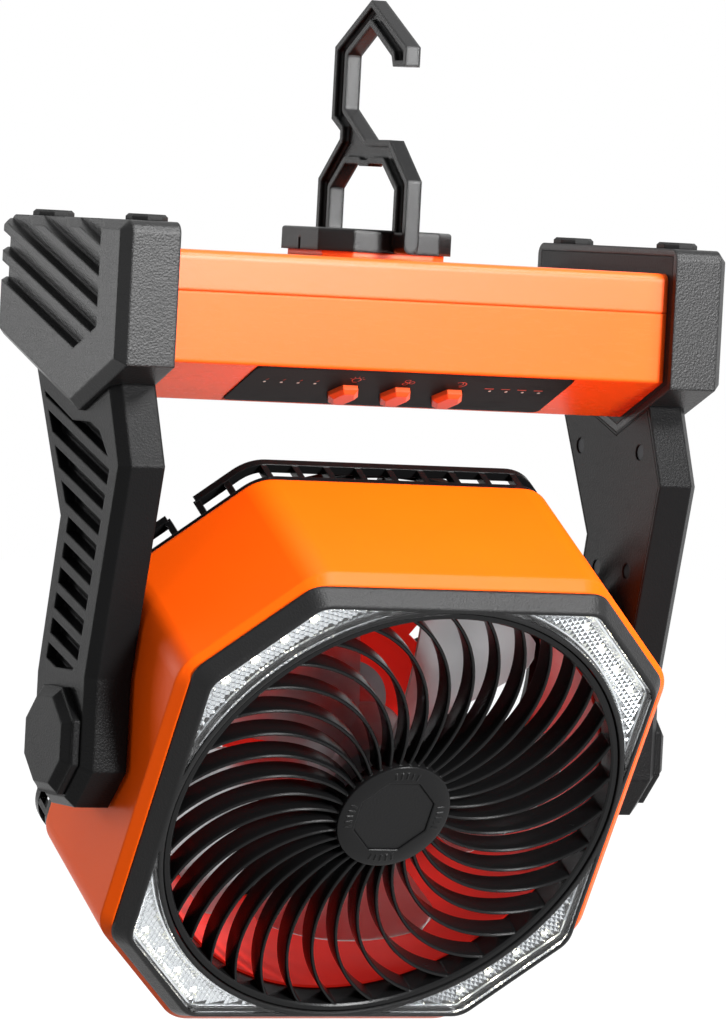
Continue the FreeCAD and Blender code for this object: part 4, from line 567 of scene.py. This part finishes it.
# %% Assign the finishes
FINISHES = {
    shell_orange: ("head_housing",),
    bar_orange: ("base_housing",),
    cover_orange: ("base_cover",),
    duct_orange: ("air_duct",),
    button_orange: ("light_button", "fan_button", "power_button"),
    cap_black: ("left_end_cap", "right_end_cap"),
    arm_black: ("left_arm_shell", "right_arm_shell", "left_tilt_knob", "right_tilt_knob"),
    lid_black: ("left_cap_lid", "right_cap_lid", "left_arm_cover", "right_arm_cover", "battery_tray",
                "hub_plate", "blade_nut", "usb_sockets"),
    hook_black: ("hook", "hook_block", "pivot_pins"),
    grille_black: ("front_grille", "rear_grille"),
    bezel_black: ("front_bezel",),
    panel_black: ("control_panel",),
    foot_rubber: ("rubber_feet", "pivot_washers"),
    board_green: ("control_board",),
    cell_sleeve: ("battery_cells",),
    led_board_white: ("led_boards",),
    bush_white: ("pivot_bushes", "panel_lamps"),
    bright_steel: ("hook_pin", "motor_shaft", "button_switches"),
    black_steel: ("arm_screws", "cage_screws"),
    motor_zinc: ("fan_motor",),
    blade_smoke: ("fan_blade",),
    lens_clear: ("light_lenses",),
    led_glow: ("led_chips",),
}


def dress(finish, names):
    for name in names:
        mesh = nodes[name].data
        mesh.materials.clear()
        mesh.materials.append(finish)


for finish, names in FINISHES.items():
    dress(finish, names)
print("dressed", sum(len(names) for names in FINISHES.values()), "of", len(nodes))

# %% [markdown]
# ## The swirling grille
# The front grille is the face of the fan: thirty-six vanes swirl from a hub disc
# to an outer ring, each with a rounded front edge that draws a fine bright line.
# The solid has straight steps and square edges, so this piece stands for it. One
# vane is a small section swept along an arc of a circle, and the others are
# turned copies. The ring and the hub are profiles turned about the head's axis.

# %% Helpers for turned and swept meshes
WELD = 1e-6  # metres


def piece_from(name, verts, faces, finish, crease=35.0):
    """A mesh object with smooth faces, kept sharp where faces meet at more than crease degrees."""
    form = bmesh.new()
    made = [form.verts.new(place) for place in verts]
    for face in faces:
        form.faces.new([made[index] for index in face])
    bmesh.ops.remove_doubles(form, verts=form.verts, dist=WELD)
    bmesh.ops.recalc_face_normals(form, faces=form.faces)
    for face in form.faces:
        face.smooth = True
    for edge in form.edges:
        edge.smooth = len(edge.link_faces) == 2 and edge.calc_face_angle() < math.radians(crease)
    mesh = bpy.data.meshes.new(name)
    form.to_mesh(mesh)
    form.free()
    mesh.materials.append(finish)
    piece = bpy.data.objects.new(name, mesh)
    scene.collection.objects.link(piece)
    return piece


def bridge(faces, first, second, count, closed=True):
    """Four-sided faces between two rows of count points that start at first and second."""
    for k in range(count if closed else count - 1):
        after = (k + 1) % count
        faces.append((first + k, first + after, second + after, second + k))


print("points closer than", WELD, "m become one")

# %% Sizes of the grille, in the head's millimetres
GRILLE_FRONT = 46.4
RING_OUTER, RING_INNER, RING_BACK, ROUND_STEPS = 91.9, 88.9, 35.4, 144
HUB_RADIUS, HUB_FRONT, HUB_BACK, HUB_FLOOR = 23.0, 47.4, 41.4, 45.1
HUB_OCTAGON = 15.1
TICK_REACH, TICK_HALF_LONG, TICK_HALF_WIDE, TICK_APART = 18.8, 1.5, 0.45, 7
VANES, VANE_STEPS = 36, 28
VANE_INNER, VANE_OUTER = HUB_RADIUS - 2, RING_INNER + 1.5
VANE_CENTRE, VANE_RADIUS = (34.6, 49.3), 51.0
VANE_BACK, VANE_FRONT, VANE_HALF = 36.6, 45.8, 0.75
VANE_NOSE = ((1.0, 0.9), (0.72, 0.3), (0.3, 0.0))  # share of the half width, distance behind the front


def reach_angle(reach):
    """The vane circle's angle at a given distance from the head's axis."""
    away = math.hypot(*VANE_CENTRE)
    lean = math.atan2(VANE_CENTRE[1], VANE_CENTRE[0])
    return lean - math.acos((reach ** 2 - away ** 2 - VANE_RADIUS ** 2) / (2 * away * VANE_RADIUS))


print("vane runs from %.0f to %.0f degrees"
      % tuple(math.degrees(reach_angle(r)) for r in (VANE_INNER, VANE_OUTER)))

# %% Vanes
def add_vanes(verts, faces):
    """Sweep the rounded section along the arc, once for each vane."""
    right = [(share * VANE_HALF, VANE_FRONT - behind) for share, behind in VANE_NOSE]
    left = [(-wide, forward) for wide, forward in reversed(right)]
    section = [(-VANE_HALF, VANE_BACK), (VANE_HALF, VANE_BACK), *right, *left]
    start, end = reach_angle(VANE_INNER), reach_angle(VANE_OUTER)
    for number in range(VANES):
        turned = math.radians(360 / VANES * number)
        c, s = math.cos(turned), math.sin(turned)
        rows = []
        for step in range(VANE_STEPS + 1):
            angle = start + (end - start) * step / VANE_STEPS
            rows.append(len(verts))
            for wide, forward in section:
                x = VANE_CENTRE[0] + (VANE_RADIUS + wide) * math.cos(angle)
                y = VANE_CENTRE[1] + (VANE_RADIUS + wide) * math.sin(angle)
                verts.append(on_head(x * c - y * s, x * s + y * c, forward))
        for low, high in zip(rows, rows[1:]):
            bridge(faces, low, high, len(section))
        faces.append(tuple(range(rows[0], rows[0] + len(section))))
        faces.append(tuple(range(rows[-1], rows[-1] + len(section))))


verts, faces = [], []
add_vanes(verts, faces)
print(VANES, "vanes with", len(verts), "points")

# %% Ring and hub
def turned_row(verts, radius_at, forward, count=ROUND_STEPS):
    """A row of points round the head's axis, and where it starts."""
    first = len(verts)
    for k in range(count):
        angle = math.tau * k / count
        radius = radius_at(angle)
        verts.append(on_head(radius * math.cos(angle), radius * math.sin(angle), forward))
    return first


def round_at(radius):
    return lambda angle: radius


def octagon_at(half):
    """The reach of an eight-sided outline with flats at half, for any angle."""
    def reach(angle):
        off = (angle + math.pi / 8) % (math.pi / 4) - math.pi / 8
        return half / math.cos(off)
    return reach


def add_band(verts, faces, profile, count=ROUND_STEPS):
    """A closed profile of (radius, forward) points, turned about the head's axis."""
    rows = [turned_row(verts, round_at(radius), forward, count) for radius, forward in profile]
    for first, second in zip(rows, rows[1:] + rows[:1]):
        bridge(faces, first, second, count)


def add_ring(verts, faces):
    add_band(verts, faces, [(RING_INNER, RING_BACK), (RING_OUTER, RING_BACK),
                            (RING_OUTER, GRILLE_FRONT - 0.5), (RING_OUTER - 0.5, GRILLE_FRONT),
                            (RING_INNER + 0.7, GRILLE_FRONT), (RING_INNER, GRILLE_FRONT - 0.7)])


def add_hub(verts, faces):
    profile = [(round_at(HUB_RADIUS), HUB_BACK), (round_at(HUB_RADIUS), HUB_FRONT - 0.9),
               (round_at(HUB_RADIUS - 0.3), HUB_FRONT - 0.3), (round_at(HUB_RADIUS - 0.9), HUB_FRONT),
               (octagon_at(HUB_OCTAGON + 0.3), HUB_FRONT), (octagon_at(HUB_OCTAGON), HUB_FRONT - 0.3),
               (octagon_at(HUB_OCTAGON), HUB_FLOOR)]
    rows = [turned_row(verts, outline, forward) for outline, forward in profile]
    for first, second in zip(rows, rows[1:]):
        bridge(faces, first, second, ROUND_STEPS)
    for row in (rows[0], rows[-1]):
        faces.append(tuple(range(row, row + ROUND_STEPS)))


def add_hub_ticks(verts, faces):
    """Five short raised ticks at the top, bottom, left and right of the hub."""
    for quarter in range(4):
        for step in range(-2, 3):
            angle = math.radians(90 * quarter + TICK_APART * step)
            out = Vector((math.cos(angle), math.sin(angle)))
            side = Vector((-out.y, out.x))
            rows = []
            for grow, forward in ((0.0, HUB_FRONT - 0.1), (-0.15, HUB_FRONT + 0.3)):
                rows.append(len(verts))
                for along, across in ((-1, -1), (1, -1), (1, 1), (-1, 1)):
                    spot = (out * (TICK_REACH + along * (TICK_HALF_LONG + grow))
                            + side * across * (TICK_HALF_WIDE + grow))
                    verts.append(on_head(spot.x, spot.y, forward))
            bridge(faces, rows[0], rows[1], 4)
            faces.append(tuple(range(rows[1], rows[1] + 4)))
            faces.append(tuple(range(rows[0], rows[0] + 4)))


add_ring(verts, faces)
add_hub(verts, faces)
add_hub_ticks(verts, faces)
grille = piece_from("swirl_grille", verts, faces, grille_black)
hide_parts("front_grille")
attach(grille, "head")
print("grille with", len(grille.data.polygons), "faces")

# %% [markdown]
# ## The rear cage
# The cage behind the head is one moulding: a rim held off the case by short
# struts, eighteen spokes, two tie rings and a cup for the motor. On the real fan
# the rim turns its corners in an easy curve, which the solid has as sharp bends.
# So the rim and the foot are swept here along a rounded eight-sided path.

# %% Sizes of the cage, in the head's millimetres
solid_cage = nodes["rear_grille"]
CAGE_HALF = max(abs((solid_cage.matrix_world @ v.co).x) for v in solid_cage.data.vertices) / MM
CAGE_FLAT = CAGE_HALF - 44.4
CAGE_BACK, CAGE_RIM, CAGE_BAND, CAGE_ROUND = -39.4, -35.2, 3.6, 18.0
CAGE_FOOT, CAGE_SEAT, CAGE_OPENING = -27.2, -24.6, 84.5
CORNER_TAN, CORNER_STEPS, FOOT_STEP, BAND_STEPS = 0.4142, 8, 5.0, 96  # the tangent of 22.5 degrees
STRUT_PITCH, STRUT_WIDE, STRUT_INSET, STRUT_SUNK, CORNER_GAP = 13.2, 2.6, 0.3, 1, 12.6
SPOKES, SPOKE_WIDE, SPOKE_DEEP, CUP_MOUTH, CUP_FLOOR, CUP_MIDDLE = 18, 2.2, 3.6, 27.0, 2.4, 0.1
TIE_RADIUS, TIE_WIDE = 60.0, 2


def cage_side(inset, gap, turned):
    """One quarter of the rounded outline: a side, its two corners and half of each bevelled corner."""
    half, flat, radius = CAGE_HALF - inset, CAGE_FLAT - CORNER_TAN * inset, CAGE_ROUND - inset
    middle = 0.5 * (half + flat)
    centre = Vector((half - radius, flat - CORNER_TAN * radius))
    upper = [centre + radius * Vector((math.cos(a), math.sin(a)))
             for a in (math.radians(45 * k / CORNER_STEPS) for k in range(CORNER_STEPS + 1))]
    upper.append(Vector((middle + 0.5 * gap * DIAGONAL, middle - 0.5 * gap * DIAGONAL)))
    path = [Vector((spot.x, -spot.y)) for spot in reversed(upper)] + upper
    c, s = math.cos(turned), math.sin(turned)
    return [(x * c - y * s, x * s + y * c) for x, y in path]


def add_swept(verts, faces, section, gap, turned):
    """Sweep a closed section of (inset, forward) points along one quarter of the outline."""
    rows = []
    for inset, forward in section:
        rows.append(len(verts))
        verts.extend(on_head(x, y, forward) for x, y in cage_side(inset, gap, turned))
    count = len(verts) - rows[-1]
    for first, second in zip(rows, rows[1:] + rows[:1]):
        bridge(faces, first, second, count, closed=False)
    for end in (0, count - 1):
        faces.append(tuple(row + end for row in rows))


def add_bar(verts, faces, low, high, back, front, wide, turned, shift=0.0):
    """A straight bar of the cage, along one direction from the axis, moved sideways by shift."""
    c, s = math.cos(turned), math.sin(turned)
    rows = []
    for forward in (back, front):
        rows.append(len(verts))
        for reach, side in ((low, -0.5), (high, -0.5), (high, 0.5), (low, 0.5)):
            y = shift + side * wide
            verts.append(on_head(reach * c - y * s, reach * s + y * c, forward))
    bridge(faces, rows[0], rows[1], 4)
    faces.extend(tuple(range(row, row + 4)) for row in rows)


print("cage reaches %.1f mm to each side" % CAGE_HALF)

# %% Rim, foot, struts and spokes
def closely_spaced(path, step):
    """The same path with more points, so that no two are further apart than step."""
    spots = []
    for start, end in zip(path, path[1:]):
        pieces = math.ceil(math.dist(start, end) / step)
        for k in range(pieces):
            part = k / pieces
            spots.append(tuple(a + part * (b - a) for a, b in zip(start, end)))
    return spots + [path[-1]]


def add_foot(verts, faces):
    """The flat foot against the case, from the rounded outline in to the round opening."""
    for quarter in range(4):
        turned = math.radians(90 * quarter)
        outline = closely_spaced(cage_side(0.0, 0.0, turned), FOOT_STEP)
        rows = []
        for forward in (CAGE_FOOT, CAGE_SEAT):
            for path in (outline, [Vector(spot).normalized() * CAGE_OPENING for spot in outline]):
                rows.append(len(verts))
                verts.extend(on_head(x, y, forward) for x, y in path)
        for first, second in ((0, 1), (1, 3), (3, 2), (2, 0)):
            bridge(faces, rows[first], rows[second], len(outline), closed=False)


def add_struts(verts, faces, reach, turned, steps):
    """Short struts between the rim and the foot, along one side that lies at reach."""
    for step in steps:
        add_bar(verts, faces, reach - CAGE_BAND + STRUT_INSET, reach - STRUT_INSET, CAGE_RIM - STRUT_SUNK,
                CAGE_FOOT + STRUT_SUNK, STRUT_WIDE, turned, step * STRUT_PITCH)


def add_cage_side(verts, faces, quarter):
    """One quarter of the rim with the struts of its side and of one bevelled corner."""
    turned = math.radians(90 * quarter)
    rim = [(0.0, CAGE_BACK + 0.8), (0.8, CAGE_BACK), (CAGE_BAND, CAGE_BACK), (CAGE_BAND, CAGE_RIM),
           (0.0, CAGE_RIM)]
    add_swept(verts, faces, rim, CORNER_GAP, turned)
    add_struts(verts, faces, CAGE_HALF, turned, range(-4, 5))
    add_struts(verts, faces, DIAGONAL * (CAGE_HALF + CAGE_FLAT), turned + math.pi / 4, FOUR_IN_ROW)


def add_spokes_and_cup(verts, faces):
    """Spokes from the cup to the rim, two tie rings across them, and the motor's cup."""
    front, edge = CAGE_BACK + SPOKE_DEEP, CAGE_HALF - CAGE_BAND
    for number in range(SPOKES):
        add_bar(verts, faces, CUP_MOUTH - 1, edge + 1, CAGE_BACK, front, SPOKE_WIDE,
                math.tau * number / SPOKES + math.pi / 2)
    for low, high in ((TIE_RADIUS, TIE_RADIUS + TIE_WIDE), (edge - 1, edge - 1 + TIE_WIDE)):
        add_band(verts, faces, [(low, CAGE_BACK), (high, CAGE_BACK), (high, front), (low, front)], BAND_STEPS)
    floor_back, bore = CAGE_SEAT - CUP_FLOOR, CUP_MOUTH - CUP_FLOOR
    add_band(verts, faces, [(CUP_MIDDLE, floor_back), (bore, floor_back), (bore, CAGE_BACK),
                            (CUP_MOUTH, CAGE_BACK), (CUP_MOUTH, CAGE_SEAT), (CUP_MIDDLE, CAGE_SEAT)],
             BAND_STEPS)


verts, faces = [], []
add_foot(verts, faces)
for quarter in range(4):
    add_cage_side(verts, faces, quarter)
add_spokes_and_cup(verts, faces)
cage = piece_from("rear_cage", verts, faces, grille_black)
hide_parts("rear_grille")
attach(cage, "head")
print("cage with", len(cage.data.polygons), "faces")

# %% [markdown]
# ## The orange wall behind the blades
# Behind the smoky blades the photo shows an orange wall round the motor that
# reaches the duct at the upper left. It closes part of the opening, so it is
# drawn as a flat disc with one wide arm, moulded in the duct's orange.

# %% Motor wall
WALL_BORE, WALL_DISC, WALL_REACH, WALL_FRONT, WALL_THICK = 24.0, 43.0, 83.0, -22.6, 1.6
WALL_FROM, WALL_TO = 57.0, 168.0  # the arm's edges, in degrees
WALL_STEPS = 96


def wall_reach(angle):
    """The wall's edge: the disc, and the duct where the arm is."""
    degrees = math.degrees(angle) % 360
    return WALL_REACH if WALL_FROM <= degrees <= WALL_TO else WALL_DISC


verts, faces = [], []
rows = [turned_row(verts, outline, WALL_FRONT - depth, WALL_STEPS)
        for outline, depth in ((wall_reach, 0.0), (wall_reach, WALL_THICK),
                               (round_at(WALL_BORE), WALL_THICK), (round_at(WALL_BORE), 0.0))]
for first, second in zip(rows, rows[1:] + rows[:1]):
    bridge(faces, first, second, WALL_STEPS)
# the wall takes the duct's finish, and with it the duct's painted glow
wall = piece_from("motor_wall", verts, faces, duct_orange)
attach(wall, "head")
print("wall with", len(wall.data.polygons), "faces")

# %% [markdown]
# ## Prisms behind the lenses
# Each corner lens has rows of small four-sided prisms that break up the light of
# its lamps. A bump pattern gave them no depth. Here every prism is a real little
# pyramid with a mirror finish, on a sheet close behind the clear window. One side
# of each has a darker finish: painted shade, for the dark reflection that side
# shows. Room is left round each lamp, whose dome comes up between them, and a
# smooth bright rim runs round each sheet.

# %% Prism sheets and lamp domes
LENS_INNER, LENS_OUTER, LENS_HALF = 94.2, 106.0, 92.5
CHIP_REACH, CHIP_PITCH, CHIP_TOP = 100.1, 13.2, 38.8
PRISM_LONG, PRISM_WIDE, PRISM_BASE, PRISM_HIGH = 2.2, 1.8, 41.2, 0.85
PRISM_ROWS, PRISM_COLUMNS, PRISM_SIDES, PAINTED_SHADE_SIDE = 20, 30, 4, 1
SHEET_MARGIN, LAMP_ROOM = 2.0, 1.3
RIM_EDGES, RIM_BACK, RIM_FRONT = (0.5, 1.6), 41.2, 42.1
DOME_PROFILE, DOME_STEPS = ((0.75, CHIP_TOP - 0.05), (0.75, 40.9), (0.6, 41.4), (0.3, 41.7)), 10
CORNERS = [math.radians(45 + 90 * corner) for corner in range(4)]


def in_corner(corner, along, reach, forward):
    """A point of a corner lens, from its own length, its distance from the axis and its depth."""
    c, s = math.cos(corner), math.sin(corner)
    return on_head(reach * c - along * s, reach * s + along * c, forward)


def inside_lens(along, reach, margin):
    """Whether a point lies within the lens's outline by at least margin."""
    across = (reach + abs(along)) * DIAGONAL
    return (math.hypot(along, reach) > LENS_INNER + margin and reach < LENS_OUTER - margin
            and across < LENS_HALF - margin)


def near_lamp(along, reach):
    """Whether a prism here would touch a lamp's dome."""
    return min(math.hypot(along - CHIP_PITCH * k, reach - CHIP_REACH) for k in FOUR_IN_ROW) < LAMP_ROOM


def add_prisms(verts, faces, corner):
    """Staggered rows of prisms, as far as the lens reaches."""
    for row in range(-PRISM_ROWS, PRISM_ROWS):
        reach = LENS_INNER + (row + 0.5) * PRISM_WIDE
        shift = 0.5 * PRISM_LONG * (row % 2)
        for step in range(-PRISM_COLUMNS, PRISM_COLUMNS + 1):
            along = step * PRISM_LONG + shift
            if not inside_lens(along, reach, SHEET_MARGIN) or near_lamp(along, reach):
                continue
            first = len(verts)
            for u, v in ((-0.5, 0), (0, -1.0), (0.5, 0), (0, 1.0)):
                verts.append(in_corner(corner, along + u * PRISM_LONG, reach + v * PRISM_WIDE, PRISM_BASE))
            verts.append(in_corner(corner, along, reach, PRISM_BASE + PRISM_HIGH))
            for k in range(PRISM_SIDES):
                faces.append((first + k, first + (k + 1) % PRISM_SIDES, first + PRISM_SIDES))


def lens_outline(inset, steps=24):
    """The lens's outline moved inwards by inset: its inner arc, then its two outer corners."""
    inner, outer, half = LENS_INNER + inset, LENS_OUTER - inset, LENS_HALF - inset
    tip = math.asin(half / inner) - math.pi / 4
    angles = [tip * (2 * k / steps - 1) for k in range(steps + 1)]
    shoulder = half * math.sqrt(2) - outer
    arc_points = [(inner * math.sin(a), inner * math.cos(a)) for a in angles]
    return arc_points + [(shoulder, outer), (-shoulder, outer)]


def add_lens_rim(verts, faces, corner):
    """The smooth bright rim round a prism sheet."""
    near, far = RIM_EDGES
    rows = []
    for inset, forward in ((near, RIM_BACK), (near, RIM_FRONT), (far, RIM_FRONT), (far, RIM_BACK)):
        rows.append(len(verts))
        verts.extend(in_corner(corner, along, reach, forward) for along, reach in lens_outline(inset))
    count = len(verts) - rows[-1]
    for first, second in zip(rows, rows[1:] + rows[:1]):
        bridge(faces, first, second, count)


def add_dome(verts, faces, corner, along):
    """A small clear dome on a lamp, as a turned profile."""
    rows = []
    for radius, forward in DOME_PROFILE:
        rows.append(len(verts))
        for k in range(DOME_STEPS):
            turn = math.tau * k / DOME_STEPS
            verts.append(in_corner(corner, along + radius * math.cos(turn),
                                   CHIP_REACH + radius * math.sin(turn), forward))
    for low, high in zip(rows, rows[1:]):
        bridge(faces, low, high, DOME_STEPS)
    for row in (rows[-1], rows[0]):
        faces.append(tuple(range(row, row + DOME_STEPS)))


verts, faces = [], []
for corner in CORNERS:
    add_prisms(verts, faces, corner)
prisms = piece_from("lens_prisms", verts, faces, prism_silver, crease=10.0)
# one face of each prism gets the darker finish: painted shade
prisms.data.materials.append(prism_shade)
for face in prisms.data.polygons:
    if face.index % PRISM_SIDES == PAINTED_SHADE_SIDE:
        face.material_index = 1
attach(prisms, "head")
verts, faces = [], []
for corner in CORNERS:
    add_lens_rim(verts, faces, corner)
rims = piece_from("lens_rims", verts, faces, prism_silver)
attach(rims, "head")
verts, faces = [], []
for corner in CORNERS:
    for k in FOUR_IN_ROW:
        add_dome(verts, faces, corner, CHIP_PITCH * k)
domes = piece_from("lamp_domes", verts, faces, led_glow)
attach(domes, "head")
print(len(prisms.data.polygons), "prism faces,", len(domes.data.polygons), "dome faces")

# %% [markdown]
# ## Fan blades
# The five blades are broad, thin and gently twisted, with rounded tips. The solid
# has flat steps along its curve. This piece stands for it with one smooth sheet
# for each blade, drawn in turns and distances about the fan's own axis, and a
# turned cup in the middle.

# %% Blades
BLADE_ROOT, BLADE_TIP, BLADE_HALF_TURN = 20.4, 80.6, 28.5
BLADE_MIDDLE, BLADE_RISE, BLADE_BOW, BLADE_THICK = 15.5, 9.0, 2.0, 1.4
BLADES, BLADE_START, BLADE_SWEEP, SWEEP_ABOUT = 5, -12.0, 6.0, 0.4
TIP_NARROWS, TIP_FROM, TIP_SHARE, ROOT_NARROWS, ROOT_RISE = 0.22, 0.82, 0.18, 0.16, 0.75
CUP_RADIUS, CUP_WALL, CUP_FRONT, CUP_BACK, CUP_BORE, CUP_STEPS = 21.5, 1.8, 30.0, 2.0, 2.2, 72


def blade_point(turned, outward, chord, thick):
    """A point of a blade: outward runs 0 to 1 from root to tip, chord -1 to 1 across it."""
    reach = BLADE_ROOT + (BLADE_TIP - BLADE_ROOT) * outward
    at_tip = max(0.0, (outward - TIP_FROM) / TIP_SHARE)
    narrow = 1.0 - TIP_NARROWS * at_tip ** 3 - ROOT_NARROWS * (1 - outward) ** 2
    angle = math.radians(turned + BLADE_HALF_TURN * chord * narrow + BLADE_SWEEP * (outward - SWEEP_ABOUT))
    rise = BLADE_RISE * chord * (ROOT_RISE + (1 - ROOT_RISE) * outward)
    forward = BLADE_MIDDLE + rise + BLADE_BOW * (1 - chord ** 2) + thick
    return on_head(reach * math.cos(angle), reach * math.sin(angle), forward)


def add_blades(verts, faces, along=18, across=16):
    """Each blade as two skins, along by across cells, joined round their edge."""
    for number in range(BLADES):
        turned = 360 / BLADES * number + BLADE_START
        skins = []
        for thick in (-0.5 * BLADE_THICK, 0.5 * BLADE_THICK):
            rows = []
            for i in range(along + 1):
                rows.append(len(verts))
                for j in range(across + 1):
                    verts.append(blade_point(turned, i / along, 2 * j / across - 1, thick))
            for low, high in zip(rows, rows[1:]):
                bridge(faces, low, high, across + 1, closed=False)
            skins.append(rows)
        back, front = skins
        for one, other in ((back[0], front[0]), (back[-1], front[-1])):
            bridge(faces, one, other, across + 1, closed=False)
        for i in range(along):
            for edge in (0, across):
                faces.append((back[i] + edge, back[i + 1] + edge, front[i + 1] + edge, front[i] + edge))


verts, faces = [], []
add_blades(verts, faces)
inside, floor_back = CUP_RADIUS - CUP_WALL, CUP_FRONT - CUP_WALL
add_band(verts, faces, [(CUP_BORE, CUP_FRONT), (CUP_RADIUS - 1.2, CUP_FRONT),
                        (CUP_RADIUS - 0.3, CUP_FRONT - 0.4), (CUP_RADIUS, CUP_FRONT - 1.2),
                        (CUP_RADIUS, CUP_BACK), (inside, CUP_BACK), (inside, floor_back),
                        (CUP_BORE, floor_back)], CUP_STEPS)
blades = piece_from("smoky_blades", verts, faces, blade_smoke)
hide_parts("fan_blade")
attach(blades, "rotor")
print("blades with", len(blades.data.polygons), "faces")

# %% [markdown]
# ## Printed marks on the control panel
# The panel carries small printed signs: a lamp, a fan and a moon above the
# buttons, dashes and ticks above the two rows of indicator lamps. They could be
# painted in the panel's material. Thin flat shapes that lie on the panel are
# simpler, because each keeps a crisp edge at any size.

# %% Marks
PANEL_TOP_EDGE = Vector((0, -49.8 * MM, -129.7 * MM))
DOWN_SLOPE = Vector((0, 0.91183, -0.41057))
OUT_OF_PANEL = Vector((0, -0.41057, -0.91183))
PRINT_LIFT = 0.42
LAMP_SIGN, FAN_SIGN, MOON_SIGN = (-22.0, 9.2), (0, 9.6), (22, 9.4)
DASHES, TICKS, INDICATOR_PITCH = 46.2, -48.0, 7


def on_panel(along, down):
    """A point printed on the panel, from millimetres along the bar and down its slope."""
    lift = OUT_OF_PANEL * PRINT_LIFT * MM
    return PANEL_TOP_EDGE + Vector((along * MM, 0, 0)) + DOWN_SLOPE * down * MM + lift


def add_stroke(verts, faces, path, wide, closed=False):
    """A flat line of even width along a path of points on the panel."""
    count = len(path)
    first = len(verts)
    for k, (x, y) in enumerate(path):
        before = path[k - 1] if closed or k else path[k]
        after = path[(k + 1) % count] if closed or k < count - 1 else path[k]
        run = Vector((after[0] - before[0], after[1] - before[1])).normalized()
        for side in (-0.5, 0.5):
            verts.append(on_panel(x - run.y * wide * side, y + run.x * wide * side))
    for k in range(count if closed else count - 1):
        a, b = first + 2 * k, first + 2 * ((k + 1) % count)
        faces.append((a, a + 1, b + 1, b))


def around(x, y, radius, degrees):
    angle = math.radians(degrees)
    return x + radius * math.cos(angle), y + radius * math.sin(angle)


def arc(x, y, radius, start, end, steps=20):
    return [around(x, y, radius, start + (end - start) * k / steps) for k in range(steps + 1)]


def print_signs():
    """The three orange signs above the buttons."""
    verts, faces = [], []
    x, y = LAMP_SIGN
    add_stroke(verts, faces, arc(x, y, 1.7, 130, 410), 0.35)
    add_stroke(verts, faces, [(x - 1.0, 11.3), (x + 1.0, 11.3)], 0.35)
    for turn in (200, 235, 270, 305, 340):
        add_stroke(verts, faces, [around(x, y, 2.4, turn), around(x, y, 3.3, turn)], 0.3)
    for turn in (0, 120, 240):
        add_stroke(verts, faces, arc(*around(*FAN_SIGN, 1.5, turn), 1.1, 0, 342, 18), 0.32)
    x, y = MOON_SIGN
    add_stroke(verts, faces, arc(x, y, 2.3, -140, 80), 0.5)
    add_stroke(verts, faces, arc(x - 0.8, y - 0.4, 1.7, -115, 70), 0.35)
    return verts, faces


def print_dashes():
    """Dashes above the right lamps and fine ticks above the left ones."""
    verts, faces = [], []
    for step in FOUR_IN_ROW:
        dash, tick = DASHES + INDICATOR_PITCH * step, TICKS + INDICATOR_PITCH * step
        add_stroke(verts, faces, [(dash - 1.9, 12.2), (dash + 1.9, 12.2)], 0.6)
        add_stroke(verts, faces, [(tick + 0.3, 12.6), (tick + 1.0, 11.4)], 0.3)
    return verts, faces


sign_orange = moulded("sign_orange", (0.55, 0.06, 0.02), (0.45, 0.045, 0.015), 0.5, 2600, 0.1)
for title, (verts, faces) in (("panel_signs", print_signs()), ("panel_dashes", print_dashes())):
    marks = piece_from(title, verts, faces, sign_orange)
    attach(marks, "base")
    print(title, len(marks.data.polygons), "faces")
